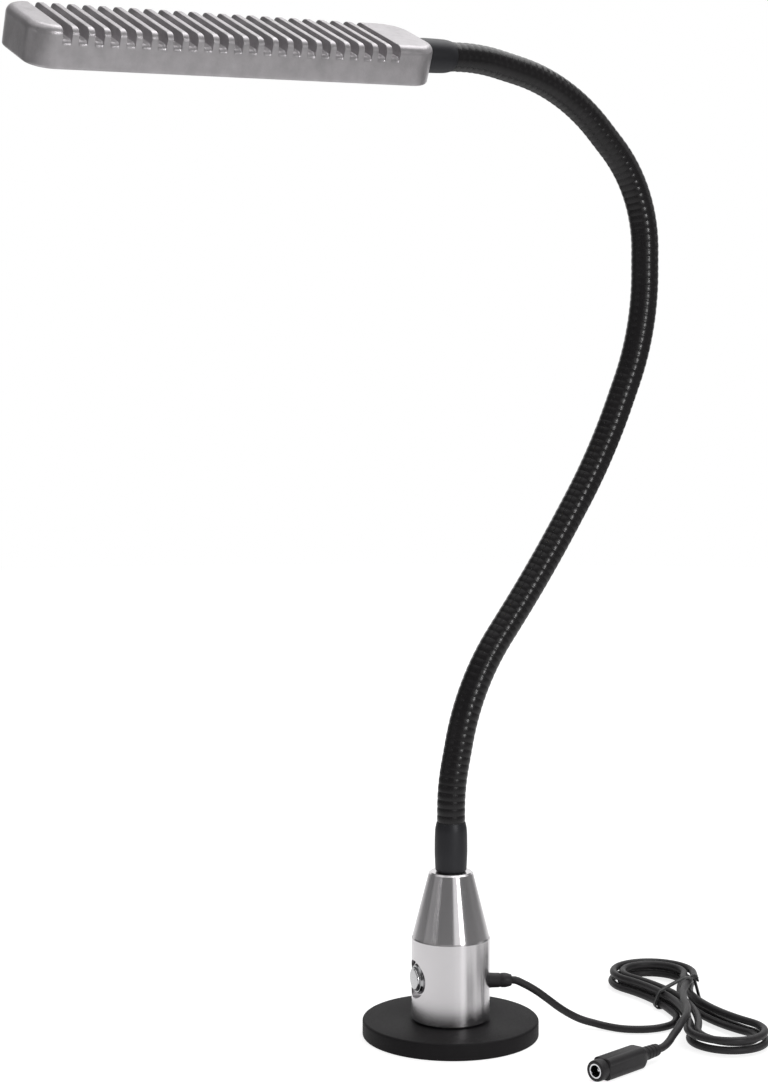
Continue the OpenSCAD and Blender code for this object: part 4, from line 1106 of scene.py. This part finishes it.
# Room: an even level for soft light, and for gloss a level by height and a white backdrop
EVEN_LIGHT = 0.36
ROOM_STOPS = [(0.0, 0.25), (0.47, 0.2), (0.53, 0.13), (0.80, 0.13), (0.90, 0.85), (1.0, 1.0)]
BACKDROP = (0.523, 0.848, 0)
BACKDROP_EDGE = {"From Min": 0.6, "From Max": 0.9}


def panel_light(name, azimuth, distance, height, width, tall, power):
    """A soft panel of light, aimed at the lamp."""
    data = bpy.data.lights.new(name, "AREA")
    data.shape = "RECTANGLE"
    data.size, data.size_y = width, tall
    data.energy = power
    made = bpy.data.objects.new(name, data)
    bpy.context.scene.collection.objects.link(made)
    a = math.radians(azimuth)
    made.location = (distance * math.sin(a), -distance * math.cos(a), height)
    made.rotation_euler = (LIGHT_AIM - made.location).to_track_quat("-Z", "Z").to_euler()


def room_light(tree):
    """Colour of the room by direction: pale low down, dim at lamp height, bright overhead, and
    white towards the backdrop."""
    place = add(tree, "TexCoord").outputs["Generated"]
    height = add(tree, "SeparateXYZ", {0: place}).outputs["Z"]
    lift = add(tree, "MapRange", {"Value": height, "From Min": -1}).outputs["Result"]
    ramp = add(tree, "ValToRGB", {"Fac": lift})
    stops = ramp.color_ramp.elements
    while len(stops) < len(ROOM_STOPS):
        stops.new(0.5)
    for stop, (at, value) in zip(stops, ROOM_STOPS):
        stop.position = at
        stop.color = (value, value, value, 1)
    facing = add(tree, "VectorMath", {0: place, 1: BACKDROP}, operation="DOT_PRODUCT")
    edge = {"Value": facing.outputs["Value"], **BACKDROP_EDGE}
    near = add(tree, "MapRange", edge, interpolation_type="SMOOTHSTEP").outputs["Result"]
    tones = {0: near, 6: ramp.outputs["Color"], 7: WHITE}
    return add(tree, "Mix", tones, data_type="RGBA").outputs[2]


def studio_world():
    """Even light for the surfaces, white behind the lamp and through its glass, and the room for
    gloss."""
    world = bpy.data.worlds.new("studio")
    bpy.context.scene.world = world
    world.use_nodes = True
    tree = world.node_tree
    tree.nodes.clear()
    path = add(tree, "LightPath").outputs
    even = add(tree, "Background", {"Color": WHITE, "Strength": EVEN_LIGHT}).outputs[0]
    white = add(tree, "Background", {"Color": WHITE}).outputs[0]
    room = add(tree, "Background", {"Color": room_light(tree)}).outputs[0]
    gloss = add(tree, "MixShader", {0: path["Is Glossy Ray"], 1: even, 2: room}).outputs[0]
    seen = maths(tree, "MAXIMUM", path["Is Camera Ray"], path["Is Transmission Ray"])
    view = add(tree, "MixShader", {0: seen, 1: gloss, 2: white}).outputs[0]
    add(tree, "OutputWorld", {"Surface": view})


def floor_finish(tone):
    """Pale floor: plain for soft light, and lifted to white with a faint shadow where it is seen,
    mirrored or seen through glass."""
    made = bpy.data.materials.new("pale_floor")
    made.use_nodes = True
    tree = made.node_tree
    tree.nodes.clear()
    path = add(tree, "LightPath").outputs
    place = add(tree, "TexCoord").outputs["Object"]
    away = add(tree, "VectorMath", {0: place}, operation="LENGTH").outputs["Value"]
    fade = add(tree, "MapRange", {"Value": away, **FLOOR_FADE}).outputs["Result"]
    level = maths(tree, "MAXIMUM", path["Is Camera Ray"], fade)
    lit, strength = (maths(tree, "MULTIPLY", level, share) for share in (FLOOR_LIT, FLOOR_GLOW))
    plain = add(tree, "BsdfDiffuse", {"Color": (*tone, 1)}).outputs[0]
    shadow = add(tree, "BsdfDiffuse", {"Color": lit}).outputs[0]
    glow = add(tree, "Emission", {"Strength": strength}).outputs[0]
    lifted = add(tree, "AddShader", {0: glow, 1: shadow}).outputs[0]
    seen = maths(tree, "MAXIMUM", path["Is Camera Ray"], path["Is Glossy Ray"])
    seen = maths(tree, "MAXIMUM", seen, path["Is Transmission Ray"])
    pick = add(tree, "MixShader", {0: seen, 1: plain, 2: lifted}).outputs[0]
    add(tree, "OutputMaterial", {"Surface": pick})
    return made


class WORKLIGHT_OT_stage(bpy.types.Operator):
    """Pale floor, soft studio light and the camera"""

    bl_idname = "worklight.stage"
    bl_label = "Stage"

    def execute(self, context):
        scene, stage = context.scene, context.scene.work_light_stage
        scene.view_settings.view_transform = "Standard"
        studio_world()
        mesh = bpy.data.meshes.new("floor")
        a = round_turn(FLOOR_SIDES)
        rim = FLOOR_RADIUS * np.stack([np.cos(a), np.sin(a), 0 * a], axis=1)
        mesh.from_pydata(rim.tolist(), [], [tuple(range(len(rim)))])
        floor = bpy.data.objects.new("floor", mesh)
        scene.collection.objects.link(floor)
        mesh.materials.append(floor_finish(stage.floor))
        for name, values in LIGHTS.items():
            panel_light(name, *values)
        data = bpy.data.cameras.new("camera")
        data.lens, data.sensor_width = stage.focal, SENSOR
        camera = bpy.data.objects.new("camera", data)
        scene.collection.objects.link(camera)
        camera.location = stage.camera
        camera.rotation_euler = Vector(stage.heading).to_track_quat("-Z", "Y").to_euler()
        scene.camera = camera
        return {"FINISHED"}


class WORKLIGHT_PT_pieces(bpy.types.Panel):
    """Pieces of the work light"""

    bl_label = "Work light"
    bl_idname = "WORKLIGHT_PT_pieces"
    bl_space_type = "VIEW_3D"
    bl_region_type = "UI"
    bl_category = "Work light"

    def draw(self, context):
        for operator in OPERATORS:
            self.layout.operator(operator.bl_idname)


SETTINGS = {
    "work_light_head": HeadSettings,
    "work_light_neck": NeckSettings,
    "work_light_base": BaseSettings,
    "work_light_cord": CordSettings,
    "work_light_stage": StageSettings,
}
OPERATORS = (
    WORKLIGHT_OT_stage, WORKLIGHT_OT_solids, WORKLIGHT_OT_cord, WORKLIGHT_OT_tie,
    WORKLIGHT_OT_socket, WORKLIGHT_OT_declare, WORKLIGHT_OT_head, WORKLIGHT_OT_neck,
    WORKLIGHT_OT_ferrules, WORKLIGHT_OT_foot, WORKLIGHT_OT_switch,
)


def register():
    """Makes the settings, the operators and the panel known."""
    for name, group in SETTINGS.items():
        bpy.utils.register_class(group)
        setattr(bpy.types.Scene, name, bpy.props.PointerProperty(type=group))
    for made in (*OPERATORS, WORKLIGHT_PT_pieces):
        bpy.utils.register_class(made)


def unregister():
    """Takes them out again, the last first."""
    for made in (WORKLIGHT_PT_pieces, *reversed(OPERATORS)):
        bpy.utils.unregister_class(made)
    for name, group in reversed(SETTINGS.items()):
        delattr(bpy.types.Scene, name)
        bpy.utils.unregister_class(group)


def main():
    """Makes every piece in order."""
    register()
    for operator in OPERATORS:
        family, name = operator.bl_idname.split(".")
        getattr(getattr(bpy.ops, family), name)()


if __name__ == "__main__":
    main()
